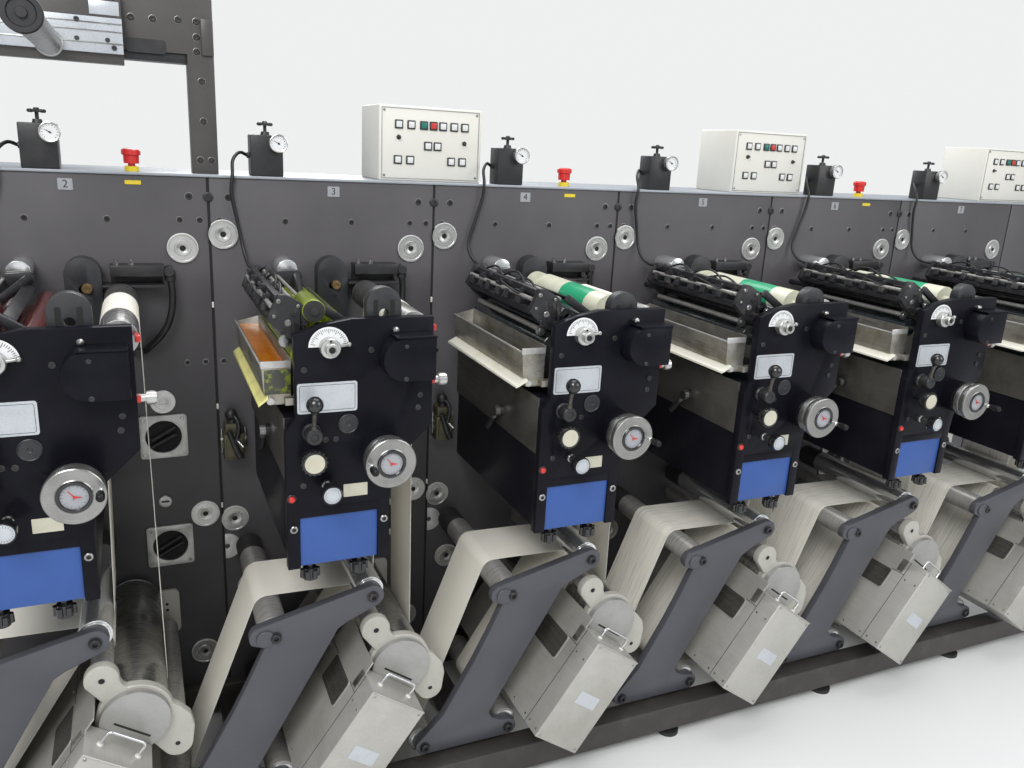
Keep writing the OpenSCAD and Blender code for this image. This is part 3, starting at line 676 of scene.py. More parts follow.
    def post(self, x: float, out: float, z: Point, radius: float, top: float | None = None,
             segments: int = 16) -> "Shape":
        """Adds an upright round bar or cone.

        Args:
            x: Its place across.
            out: Its distance out.
            z: Heights of its ends.
            radius: Radius at its foot.
            top: Radius at its top, where that differs.
            segments: Sides of the circle.

        Returns:
            The shape.
        """
        return self.bar(along(x, out, z[0]), along(x, out, z[1]), radius, top, segments)

    def pipe(self, line: Sequence[Vector], radius: float, segments: int) -> "Shape":
        """Adds a bent bar along a line.

        Args:
            line: Its points.
            radius: Its radius.
            segments: Sides of the circle.

        Returns:
            The shape.
        """
        for start, end in zip(line, line[1:]):
            self.bar(start, end, radius, segments=segments)
        return self

    def ball(self, middle: Vector, radius: float) -> "Shape":
        """Adds a ball.

        Args:
            middle: Its middle.
            radius: Its radius.

        Returns:
            The shape.
        """
        bmesh.ops.create_uvsphere(
            self.mesh, u_segments=28, v_segments=18, radius=radius,
            matrix=Matrix.Translation(middle),
        )
        return self

    def screw(self, axis: Point, out: float, radius: float, height: float) -> "Shape":
        """Adds a round screw head with its socket, standing on a face.

        Args:
            axis: Its axis, across and up.
            out: Distance out of the face.
            radius: Radius of the head.
            height: Height of the head.

        Returns:
            The shape.
        """
        sunk = height - height * 0.6
        return self.turned(axis, (
            (radius, 0), (radius, height - 0.8), (radius - 0.8, height), (radius * 0.5, height),
            (radius * 0.46, sunk), (ON_AXIS, sunk)), 12, out)

    def copy_node(self, node: str, bevel: float, mover: Mover | None = None) -> "Shape":
        """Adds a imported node's own shape with softened edges, in the row frame.

        Args:
            node: Name of the node.
            bevel: Width of the bevel, in metres.
            mover: Gives each corner its place in the bay, where that differs.

        Returns:
            The shape.
        """
        self.mesh.from_mesh(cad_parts[node].data)
        if mover:
            for vert in self.mesh.verts:
                across = vert.co.x * 1000 + MIDDLE_X
                bay = min(max(int(across // PITCH), 0), len(ALL_BAYS) - 1)
                here = (across - bay * PITCH, MIDDLE_OUT - vert.co.y * 1000,
                        vert.co.z * 1000 - DATUM)
                vert.co = to_row(bay) @ along(*mover(bay, here))
        bmesh.ops.remove_doubles(self.mesh, verts=self.mesh.verts, dist=NODE_MERGE)
        bmesh.ops.dissolve_limit(
            self.mesh, angle_limit=math.radians(FLAT_ANGLE), verts=self.mesh.verts,
            edges=self.mesh.edges,
        )
        sharp = [e for e in self.mesh.edges
                 if e.is_manifold and e.calc_face_angle(0) > math.radians(SHARP_ANGLE)]
        self.soften(sharp, bevel, 2)
        return self

    def finished(self, bays: Iterable[int] = ALL_BAYS, body: str = "machine",
                 stands_for: Sequence[str] = (), in_row: bool = False,
                 smooth: float = 35.0) -> bpy.types.Object:
        """Turns the shape into an object, repeated in its bays and riding on its body.

        Args:
            bays: Bays that the shape is repeated in.
            body: Body that it rides on.
            stands_for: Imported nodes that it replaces.
            in_row: True where the shape is already in the row frame in metres.
            smooth: Angle in degrees up to which its edges look smooth.

        Returns:
            The finished object.
        """
        one = bpy.data.meshes.new(self.name + "_one")
        self.mesh.to_mesh(one)
        self.mesh.free()
        whole = bmesh.new()
        for bay in (0,) if in_row else bays:
            place = one.copy()
            if not in_row:
                place.transform(to_row(bay))
            whole.from_mesh(place)
            bpy.data.meshes.remove(place)
        mesh = bpy.data.meshes.new(self.name)
        whole.to_mesh(mesh)
        whole.free()
        bpy.data.meshes.remove(one)
        mesh.polygons.foreach_set("use_smooth", [True] * len(mesh.polygons))
        mesh.set_sharp_from_angle(angle=math.radians(smooth))
        made = bpy.data.objects.new(self.name, mesh)
        bpy.context.scene.collection.objects.link(made)
        mesh.materials.append(self.finish.material())
        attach(made, body)
        if stands_for:
            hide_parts(*stands_for)
        LOG.info("%s: %d faces", self.name, len(mesh.polygons))
        return made


def arc(middle: Point, radius: float, start: float, end: float, steps: int) -> list[Point]:
    """Points along an arc.

    Args:
        middle: Its middle.
        radius: Its radius.
        start: Angle in degrees of its first point.
        end: Angle in degrees of its last point.
        steps: Pieces of the arc.

    Returns:
        Its points, both ends among them.
    """
    turns = [math.radians(start + (end - start) * i / steps) for i in range(steps + 1)]
    return [(middle[0] + radius * math.cos(a), middle[1] + radius * math.sin(a)) for a in turns]


def round_box(middle: Point, width: float, height: float, radius: float,
              steps: int = 4) -> list[Point]:
    """Outline of a rectangle with round corners.

    Args:
        middle: Its middle.
        width: Its width.
        height: Its height.
        radius: Radius of its corners.
        steps: Pieces of each corner.

    Returns:
        Its points.
    """
    points: list[Point] = []
    for turn, (sx, sz) in enumerate(((1, 1), (-1, 1), (-1, -1), (1, -1))):
        corner = (middle[0] + sx * (width / 2 - radius), middle[1] + sz * (height / 2 - radius))
        points += arc(corner, radius, 90 * turn, 90 * turn + 90, steps)
    return points


def along_line(points: Sequence[Place], steps: int = 6) -> list[Vector]:
    """A smooth line through points of a bay.

    Args:
        points: Its points, as across, out and up.
        steps: Pieces between two points.

    Returns:
        Points of the line, the given ones among them.
    """
    spots = [along(*p) for p in points]
    spots = [spots[0] * 2 - spots[1], *spots, spots[-1] * 2 - spots[-2]]
    line: list[Vector] = []
    for a, b, c, d in zip(spots, spots[1:], spots[2:], spots[3:]):
        for i in range(steps):
            t = i / steps
            line.append(0.5 * (2 * b + (c - a) * t + (2 * a - 5 * b + 4 * c - d) * t ** 2
                               + (3 * b - a - 3 * c + d) * t ** 3))
    return [*line, spots[-2]]


def thin_shelf(bay: int, place: Place) -> Place:
    """Raises the shelf's underside and what ends below it, so that the shelf is a thin sheet.

    Args:
        bay: Bay of the corner; not used here.
        place: The corner's place in the bay.

    Returns:
        Its new place.
    """
    x, out, z = place
    return (x, out, z + 7.5) if -6 < z < -4 else place


def cut_corner(bay: int, place: Place) -> Place:
    """Takes the front plate's round lower right corner back to its slanted one.

    Args:
        bay: Bay of the corner; not used here.
        place: The corner's place in the bay.

    Returns:
        Its new place.
    """
    x, out, z = place
    was = ((382, -458), *arc((292, -528), 92, -6, -80, 5))
    slant = ((382, -463), (358, -486), (326, -516), (316, -528), (308, -538), (303, -559),
             (298, -580))
    for (old_x, old_z), (new_x, new_z) in zip(was, slant):
        if math.hypot(old_x - x, old_z - z) < 0.5:
            return new_x, out, new_z
    return place


def narrow_sheet(bay: int, place: Place) -> Place:
    """Draws the drip sheet in under the trough.

    Args:
        bay: Bay of the corner.
        place: The corner's place in the bay.

    Returns:
        Its new place.
    """
    x, out, z = place
    share = 0.15 if bay == 1 else 0.4
    return (44 - (44 - x) * share, out, z) if x < 40 and z < -388 else place


def cut_frame(bay: int, place: Place) -> Place:
    """Cuts the ink frame's near plate back, so that the form roller shows beside it.

    Args:
        bay: Bay of the corner; not used here.
        place: The corner's place in the bay.

    Returns:
        Its new place.
    """
    x, out, z = place
    if out < 480 or x < 125 or z < -262:
        return place
    return 122 + (x - 125) * 0.2, out, z - (x - 125) * 0.25


def lift_caps(bay: int, place: Place) -> Place:
    """Slides the near bearing caps up where the plate cylinder is out.

    Args:
        bay: Bay of the corner.
        place: The corner's place in the bay.

    Returns:
        Its new place.
    """
    x, out, z = place
    return (x, out, z + 22) if bay in OPEN_BAYS and out > 300 else place


@dataclass
class Plain:
    """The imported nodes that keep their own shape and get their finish."""

    softened: dict[str, float] = field(default_factory=lambda: {
        "wall_plates": 0.0012, "unit_front_plates": 0.0012, "unit_bodies": 0.0015,
        "blue_panels": 0.0008, "unit_side_panels": 0.0006, "cylinder_bearings": 0.0010,
        "lamp_boxes": 0.0020, "base_rails": 0.003, "rear_panels": 0.0006,
        "end_panels": 0.0006, "control_boxes": 0.0030, "gantry_frame": 0.0015,
        "top_shelf": 0.0015, "ink_frames": 0.0010, "ink_fountains": 0.0006,
        "cable_flanges": 0.0008, "web_rollers": 0.0008, "chrome_rollers": 0.0008,
        "cooling_drums": 0.0010, "lamp_rollers": 0.0008, "impression_cylinders": 0.0010,
        "wall_caps": 0.0006,
    })
    movers: dict[str, Mover] = field(default_factory=lambda: {
        "wall_plates": thin_shelf, "top_shelf": thin_shelf, "rear_panels": thin_shelf,
        "end_panels": thin_shelf, "unit_front_plates": cut_corner,
        "cylinder_bearings": lift_caps, "ink_fountains": narrow_sheet, "ink_frames": cut_frame,
    })

    def dress(self) -> None:
        """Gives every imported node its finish, and softens the edges of the large ones."""
        for node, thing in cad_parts.items():
            finish = NODE_FINISH.get(node)
            if finish is None:
                finish = MOVING_FINISH[node.rpartition("_")[0]]
            thing.data.materials.clear()
            thing.data.materials.append(finish.material())
        for node, bevel in self.softened.items():
            shape = Shape("soft_" + node, NODE_FINISH[node])
            shape.copy_node(node, bevel, self.movers.get(node))
            shape.finished(stands_for=(node,), in_row=True)


@dataclass
class Wall:
    """Seams, screws, caps, flanges and number plates of the machine wall."""

    foot: float = -1350.0
    flange_x: float = 430.0
    flange_heights: Point = (-627, -923)
    number_height: float = -22.0
    caps: tuple[Point, ...] = (
        (30, -129), (30, -870), (65, -1073), (498, -162), (518, -847), (500, -1250))
    screws: tuple[Place, ...] = (
        (-42.5, -42.5, 8.5), (44.8, -42.5, 8.5), *((x, -96.5, 7) for x in (-65, -21, 23, 177, 341)),
        *((x, -442, 6) for x in (-65, -23, 19)))

    def build(self) -> None:
        """Makes the wall's pieces."""
        seam = Shape("wall_seams", SEAM_AND_HOLE_SHADE).block((-2.8, 2.8), (-22, -1.5), (self.foot + 1, 2))
        seam.finished(range(7))
        sunk = Shape("wall_screw_rings", SCREW)
        heads = Shape("wall_screws", OXIDE)
        sockets = Shape("wall_screw_socket_shade", SEAM_AND_HOLE_SHADE)
        for x, z, r in self.screws:
            sunk.turned((x, z), ((r + 1.6, 0), (r + 1.2, 0.6), (r + 0.2, 0.7), (r, 0.2)), 28)
            heads.turned((x, z), ((r - 0.4, 0.1), (r - 0.6, 1.6), (r - 1.4, 2.2), (r * 0.52, 2.2),
                                  (r * 0.5, 0.3)), 24)
            # Painted shade: a black hex disc at the foot of each head's socket stands for the shade
            # inside it.
            sockets.disc((x, z), 0.1, 0.5, r * 0.5, segments=6)
        for shape in (sunk, heads, sockets):
            shape.finished()
        Shape("seam_bolts", BRACKET).turned((0, -42), (
            (11, 0), (11, 2.5), (9.5, 3.5), (5, 3.5), (4.6, 1.5), (ON_AXIS, 1.5)), 20,
        ).finished(range(1, 6))
        clips = Shape("seam_clips", BOX)
        for z in (-300, -560, -830):
            clips.block((-2.4, 2.4), (-6, 0.8), (z - 7, z + 7), 0.6)
        clips.finished(range(1, 6))
        rings = Shape("cap_rings", TURNED)
        eyes = Shape("cap_eye_shade", SEAM_AND_HOLE_SHADE)
        for spot in self.caps:
            rings.turned(spot, ((33.5, 5), (33.5, 5.8), (31, 5.8), (30, 5.1), (19, 5.1),
                                (18, 6.6), (11, 6.6), (8.5, 5.2), (7, 5.2)))
            # Painted shade: a black disc in each cap ring's bore stands for the shade inside it.
            eyes.disc(spot, 0.4, 4.2, 6.8)
        # Painted shade: two small black discs on the plate at x 412 stand for the shade inside two
        # holes.
        for z in (-1088, -1105):
            eyes.disc((412, z), 10, 10.5, 4, segments=16)
        rings.finished()
        Shape("spare_cap", CAP).turned((433, -538), (
            (29, 0), (29, 4.4), (28.4, 5), (19, 5), (18, 6.4), (11, 6.4), (8, 5), (7, 5), (7, 1),
            (ON_AXIS, 1))).finished((0,))
        eyes.finished()
        self.flanges()
        self.numbers()

    def flanges(self) -> None:
        """Screws, painted shade in the opening, and cables of the cable flanges."""
        holes = Shape("flange_opening_shade", SEAM_AND_HOLE_SHADE)
        screws = Shape("flange_screws", STEEL)
        wires = Shape("flange_cables", HOSE)
        x = self.flange_x
        for z in self.flange_heights:
            # Painted shade: a black disc behind each flange ring stands for the shade inside its
            # opening.
            holes.disc((x, z), 0.3, 1.0, 42, segments=40)
            for sx in (-1, 1):
                for sz in (-1, 1):
                    screws.screw((x + sx * 45, z + sz * 45), 8, 4.5, 1.6)
            for turn, lift in ((28, -6), (36, 12)):
                side = 34 * math.cos(math.radians(turn))
                wires.bar(along(x - side, 6.2, z + lift - 20), along(x + side, 4.2, z + lift + 10),
                          5.5)
        for shape in (holes, screws, wires):
            shape.finished()

    def numbers(self) -> None:
        """White bay numbers on the wall, and the plain yellow strips below the stops."""
        plates = Shape("bay_number_plates", GAUGE)
        for bay in ALL_BAYS:
            x = bay * PITCH + (296 if bay % 2 else 263)
            plates.plate(round_box((x, self.number_height), 30, 25, 1.5, 2), 0, 1.2, 0.3)
            letter = bpy.data.curves.new(f"figure_{bay}", "FONT")
            letter.body = str(bay + 2)
            letter.size = 24
            letter.align_x = "CENTER"
            letter.align_y = "CENTER"
            letter.extrude = 0.2
            draft = bpy.data.objects.new(f"figure_{bay}", letter)
            bpy.context.scene.collection.objects.link(draft)
            bpy.context.view_layer.update()
            shape = Shape(f"bay_number_{bay + 2}", BEZEL)
            shape.mesh.from_mesh(bpy.data.meshes.new_from_object(draft))
            bpy.data.objects.remove(draft)
            place = Matrix.Translation((x, -1.3, self.number_height))
            bmesh.ops.transform(shape.mesh, verts=shape.mesh.verts,
                                matrix=place @ Matrix.Rotation(math.pi / 2, 4, "X"))
            shape.finished((0,))
        plates.finished((0,))
        strips = Shape("yellow_strips", YELLOW)
        strips.plate(round_box((400, -14), 34, 9, 1, 2), 0, 1.0, 0.2).finished(STOP_BAYS)


@dataclass
class UnitFront:
    """What is fitted to the black front plate of a printing unit."""

    face: float = 545.0
    label: Point = (165, -388)
    label_size: Point = (119, 62)
    wheel: Point = (274, -510)
    scale: Point = (168, -285)
    large: Point = (129, -506)
    small: Point = (161, -573)
    red: Point = (91, -596)
    stars: Point = (129, 232)
    body_left: float = 82.0

    def build(self) -> None:
        """Makes the plates, screws, scale, knobs and small parts of the front."""
        face = self.face
        Shape("unit_labels", LABEL).plate(
            round_box(self.label, *self.label_size, 5), face, face + 1.6, 0.4).finished()
        self.label_line()
        Shape("unit_slips", CREAM).plate(
            ((196, -577), (246, -577), (246, -605), (196, -605)), face, face + 1.2, 0.3,
        ).finished()
        screws = Shape("unit_screws", BRACKET)
        for spot in ((356, -396), (352, -423), (115, -571), (253, -296), (160, -476),
                     (181, -477), (120, -330)):
            screws.screw(spot, face, 6.5, 1.8)
        screws.finished()
        Shape("unit_discs", OXIDE).turned((206, -446), (
            (20.5, 0), (20.5, 2.5), (19, 3.4), (17.5, 2.2), (5, 2.2), (3.5, 1.0), (ON_AXIS, 1.0)),
            base=face).finished()
        self.cover()
        self.bearings()
        self.scales()
        self.knobs()
        self.buttons()
        self.star_knobs()
        self.legs()

    def label_line(self) -> None:
        """Makes the thin closed line on the bare label."""
        shape = Shape("unit_label_lines", BEZEL)
        edges: list[bmesh.types.BMEdge] = []
        width, height = self.label_size
        for inset, radius in ((9, 4), (11, 3)):
            outline = round_box(self.label, width - inset, height - inset, radius)
            ring = [shape.mesh.verts.new((x, -self.face - 1.65, z)) for x, z in outline]
            edges += [shape.mesh.edges.new((a, b)) for a, b in zip(ring, ring[1:] + ring[:1])]
        bmesh.ops.bridge_loops(shape.mesh, edges=edges)
        bmesh.ops.recalc_face_normals(shape.mesh, faces=shape.mesh.faces)
        shape.finished()

    def cover(self) -> None:
        """Makes the side cover with its screws and lip, and the apron below the plate."""
        face = self.face
        cover = Shape("cover_boxes", UNIT)
        cover.plate([*arc((310, -309), 44, 90, 270, 24), (374, -353), (374, -265)],
                    face, face + 47, 1.6, 2)
        cover.plate(((290, -265), (374, -265), (374, -261), (290, -261)), face, face + 51, 1.0)
        cover.finished(stands_for=("side_covers",))
        screws = Shape("cover_screws", OXIDE).screw((312, -347), face + 47, 5, 1.6)
        screws.screw((312, -281), face + 47, 4.5, 1.4).finished()
        Shape("cover_pins", STEEL).turned((300, -255), (
            (5, 0), (5, 8), (6.4, 9), (6.4, 13), (3.4, 17), (ON_AXIS, 18)), 20, face).finished()
        Shape("front_aprons", UNIT).block(
            (107, 269), (face - 21, face - 0.4), (-642, -618), 0.8).finished()

    def bearings(self) -> None:
        """Hub of the bearing arch, painted shade in the slots of the near bearing caps, and the
        wheel's housing.
        """
        Shape("arch_hubs", BRASS).turned((291, -248), (
            (12, 44), (12, 52), (10, 55), (5, 55), (4.4, 52), (ON_AXIS, 52)), 32,
        ).finished(OPEN_BAYS)
        for name, bays, height, length in (("arch_slot_shade", OPEN_BAYS, -222, 46),
                                           ("cap_slot_shade", PLATE_BAYS, -244, 40)):
            # Painted shade: near-black rounded plates stand for the shade inside the slots, and in
            # the open bays a black disc for the shade in a hole.
            dark = Shape(name, SEAM_AND_HOLE_SHADE)
            if bays is OPEN_BAYS:
                dark.disc((289, -275), 44.6, 45.4, 5, segments=20)
            for side in (-17, 17):
                dark.plate(round_box((284 + side, height), 10, length, 4, 3), 522.6, 523.5)
            dark.finished(bays)
        Shape("wheel_housings", UNIT).turned(self.wheel, (
            (9.2, -1), (44, -1), (44, 34), (42, 36), (9.2, 36)), 64, self.face).finished()

    def scales(self) -> None:
        """White scale with its graduation, and the hub with its pointer."""
        axis, face = self.scale, self.face
        Shape("scale_faces", DIAL).plate(
            arc(axis, 39.5, 0, 180, 24) + arc(axis, 15, 180, 0, 12), face + 2, face + 2.6, 0.15,
        ).finished()
        ticks = Shape("scale_marks", BEZEL)
        for i in range(25):
            ticks.plate(spoke(axis, 10 + i * 160 / 24, 31 if i % 4 else 27, 36, 0.5),
                        face + 2.6, face + 2.9)
        ticks.finished()
        Shape("scale_hubs", TURNED).turned(axis, (
            (20, 2), (20, 19), (18.5, 21), (14, 22), (12.6, 22), (12.6, 35), (11.6, 36.4),
            (9, 36.4), (8, 34), (ON_AXIS, 34)), base=face).finished(stands_for=("scale_dials",))
        # Painted shade: a black disc at the foot of the hub's end hollow, and a small one for a
        # hole on its shoulder, stand for the shade inside them.
        eye = Shape("scale_eye_shade", SEAM_AND_HOLE_SHADE).disc(axis, face + 34, face + 34.8, 6.5)
        eye.disc((axis[0], axis[1] + 15), face + 22, face + 22.6, 2.2, segments=12).finished()
        x, z = turned_about(axis, 8, (38, 0))
        tip = along(x, face + 12, z)
        pointer = Shape("scale_pointers", STEEL)
        pointer.bar(along(axis[0], face + 14, axis[1]), tip, 3.2).ball(tip, 5.2).finished()

    def knobs(self) -> None:
        """Large and small knob with their caps, marks and neck."""
        axis, small, face = self.large, self.small, self.face
        big = Shape("big_knobs", KNOB).turned(axis, (
            (7, 0), (7, 30), (22, 30), (24.4, 32), (25, 34), (25, 49), (23.5, 52.6), (20.6, 53.4),
            (20, 52), (ON_AXIS, 52)), 56, face)
        for i in range(16):
            spot = turned_about(axis, i * 360 / 16, (24.6, 0))
            big.disc(spot, face + 33, face + 50, 1.9, segments=8)
        big.turned(small, ((7.5, 36), (17, 38), (20, 41), (20, 58), (19, 61.2), (17.6, 62),
                           (17.2, 60.6), (ON_AXIS, 60.6)), base=face).finished(smooth=30)
        Shape("big_knob_caps", CREAM).turned(axis, (
            (19.8, 52), (19.8, 52.8), (19, 53.6), (ON_AXIS, 53.9)), base=face).finished()
        Shape("small_knob_caps", LABEL).turned(small, (
            (17, 60.6), (17, 61.4), (16, 62), (ON_AXIS, 62.2)), base=face).finished()
        marks = Shape("small_knob_marks", BEZEL)
        for i in range(20):
            marks.plate(spoke(small, i * 18, 12, 15.2, 0.3), face + 62.0, face + 62.4)
        marks.finished()
        Shape("small_knob_necks", STEEL).turned(
            small, ((10, 0), (10, 7), (8, 9), (8, 37)), base=face).finished()

    def buttons(self) -> None:
        """Red buttons with their ring, and the knob at the plate's right edge."""
        face = self.face
        Shape("red_buttons", RED).turned(
            self.red, ((6.4, 0), (6.4, 6.5), (5, 8), (ON_AXIS, 8.4)), 20, face,
        ).block((381.5, 389), (face - 19, face - 1), (-374, -361), 1.5).finished()
        Shape("button_rings", BRACKET).turned(
            self.red, ((9.5, 0), (9.5, 2.4), (8.4, 3.2), (6.6, 3.2)), 24, face).finished()
        guide = Shape("guide_knobs", TURNED)
        spot = along(382, face - 11, -368)
        for low, high, radius in ((0, 16, 8), (16, 18, 12), (18, 30, 13), (30, 33, 11.5)):
            guide.bar(spot + Vector((low, 0, 0)), spot + Vector((high, 0, 0)), radius,
                      segments=24)
        guide.finished()

    def star_knobs(self) -> None:
        """Star knobs under the front plate."""
        out = self.face - 18
        stars = Shape("star_knobs", KNOB)
        for x in self.stars:
            for i in range(6):
                a = math.radians(i * 60)
                at = along(x + 15 * math.cos(a), out + 15 * math.sin(a), -774)
                stars.bar(at - Vector((0, 0, 9)), at + Vector((0, 0, 9)), 6.0, 5.4)
            stars.post(x, out, (-787, -762), 15, 14, 24).post(x, out, (-763, -744), 6)
        stars.finished(stands_for=("unit_knobs",))

    def legs(self) -> None:
        """Screws on the legs beside the blue panel, and grips of the side levers."""
        face, left = self.face, self.body_left
        screws = Shape("leg_screws", BRACKET)
        bright = Shape("leg_bolts", STEEL)
        for spot in ((94.5, -664), (281.5, -664)):
            bright.turned(spot, ((8, 0), (8, 3), (7, 3.8), (4.4, 3.8), (4.4, 0.6)), 24, face)
            screws.disc(spot, face, face + 0.7, 4.4, segments=6)
        bright.finished()
        screws.finished()
        grip = Shape("side_lever_grips", WORN)
        root, way = along(left - 11, 325, -520), Vector((0, 1, -1)).normalized()
        grip.bar(root + way * 36, root + way * 88.5, 7.0, 7.6, 20)
        grip.bar(along(left, 325, -520), along(left - 22.6, 325, -520), 13.5, 12.4, 32)
        grip.finished()


@dataclass
class Handwheel:
    """A turned wheel with a position dial and a crank handle, on its own body."""

    bay: int
    crank: float
    axis: Point = (274, -510)
    face: float = 630.0

    def ride(self, shape: Shape, stands_for: Sequence[str] = (), smooth: float = 35.0) -> None:
        """Finishes a shape in this bay, on the wheel's body."""
        shape.finished((self.bay,), f"handwheel_{self.bay + 1}", stands_for, smooth=smooth)

    def build(self) -> None:
        """Makes the wheel, its dial and its handle."""
        axis, f, n = self.axis, self.face, self.bay + 1
        wheel = Shape(f"wheel_{n}", WHEEL)
        wheel.turned(axis, (
            (9, 525 - f), (9, -42), (47, -42), (48.6, -40), (48.6, -27.5), (47.6, -25.5),
            (44, -24), (44, -19), (50, -18), (51.8, -16), (52, -14), (52, -7), (51, -5),
            (49.5, -4), (31, -4), (29.6, -3), (29.2, -5), (ON_AXIS, -5)), 72, f)
        self.ride(wheel, (f"handwheel_{n}",), 28)
        self.ride(Shape(f"dial_rim_{n}", KNOB).turned(axis, (
            (28.8, -5), (28.8, -1.2), (27.6, 0), (24, 0), (22.4, -1.6), (22.4, -4.6)), base=f))
        self.ride(Shape(f"dial_face_{n}", GAUGE).turned(
            axis, ((24.2, -4.8), (24.2, -3.6), (ON_AXIS, -3.6)), base=f))
        marks = Shape(f"dial_marks_{n}", BEZEL)
        for i in range(20):
            reach = 18.6 if i % 2 else 16.8
            marks.plate(spoke(axis, i * 18, reach, 21.2, 0.3), f - 3.6, f - 3.3)
        self.ride(marks)
        hands = Shape(f"dial_hands_{n}", RED)
        for turn, length, root in ((128, 15, 1.1), (-6, 12, 2.2), (-118, 5, 2.0)):
            hands.plate(spoke(axis, turn, -2, length, root, 0.4), f - 3.2, f - 2.4)
        self.ride(hands.disc(axis, f - 3.2, f - 1.8, 2.4, 2.0, 16))
        spot = turned_about(axis, self.crank, (42.5, 0))
        self.ride(Shape(f"crank_neck_{n}", CHROME).turned(
            spot, ((5.5, -4.2), (5.5, 4), (4, 6), (4, 12)), 24, f))
        self.ride(Shape(f"crank_grip_{n}", GRIP).turned(spot, (
            (4, 9), (5.6, 10), (7.4, 20), (7.5, 34), (6.2, 38), (3.5, 39.8), (ON_AXIS, 40)),
            28, f), smooth=60)


@dataclass
class ThrowLever:
    """The throw-on lever with its ball knob, on its own body."""

    bay: int
    axis: Point = (132, -457)
    hub: float = 585.0
    lean: float = 12.0

    def build(self) -> None:
        """Makes the hub, the stem and the ball."""
        n = self.bay + 1
        body = f"throw_lever_{n}"
        Shape(f"lever_hub_{n}", BRACKET).turned(self.axis, (
            (9, 525), (9, 546), (19, 546), (19, 552), (16.5, 555), (16.5, self.hub - 3),
            (14.5, self.hub - 0.6), (8, self.hub), (7, self.hub - 2), (ON_AXIS, self.hub - 2)),
            36).finished((self.bay,), body, (body,))
        lean = math.radians(self.lean)
        root = along(self.axis[0], self.hub - 12, self.axis[1])
        way = Vector((0, -math.sin(lean), math.cos(lean)))
        stem = Shape(f"lever_stem_{n}", DARK_STEEL)
        stem.bar(root + way * 8, root + way * 24, 8.5, 6.0, 20)
        stem.bar(root + way * 24, root + way * 58, 4.6, 5.0, 20).finished((self.bay,), body)
        ball = Shape(f"lever_ball_{n}", KNOB).ball(root + way * 70, 16.8)
        ball.bar(root + way * 50, root + way * 56, 6.5, 8.5, 20)
        ball.finished((self.bay,), body, smooth=60)


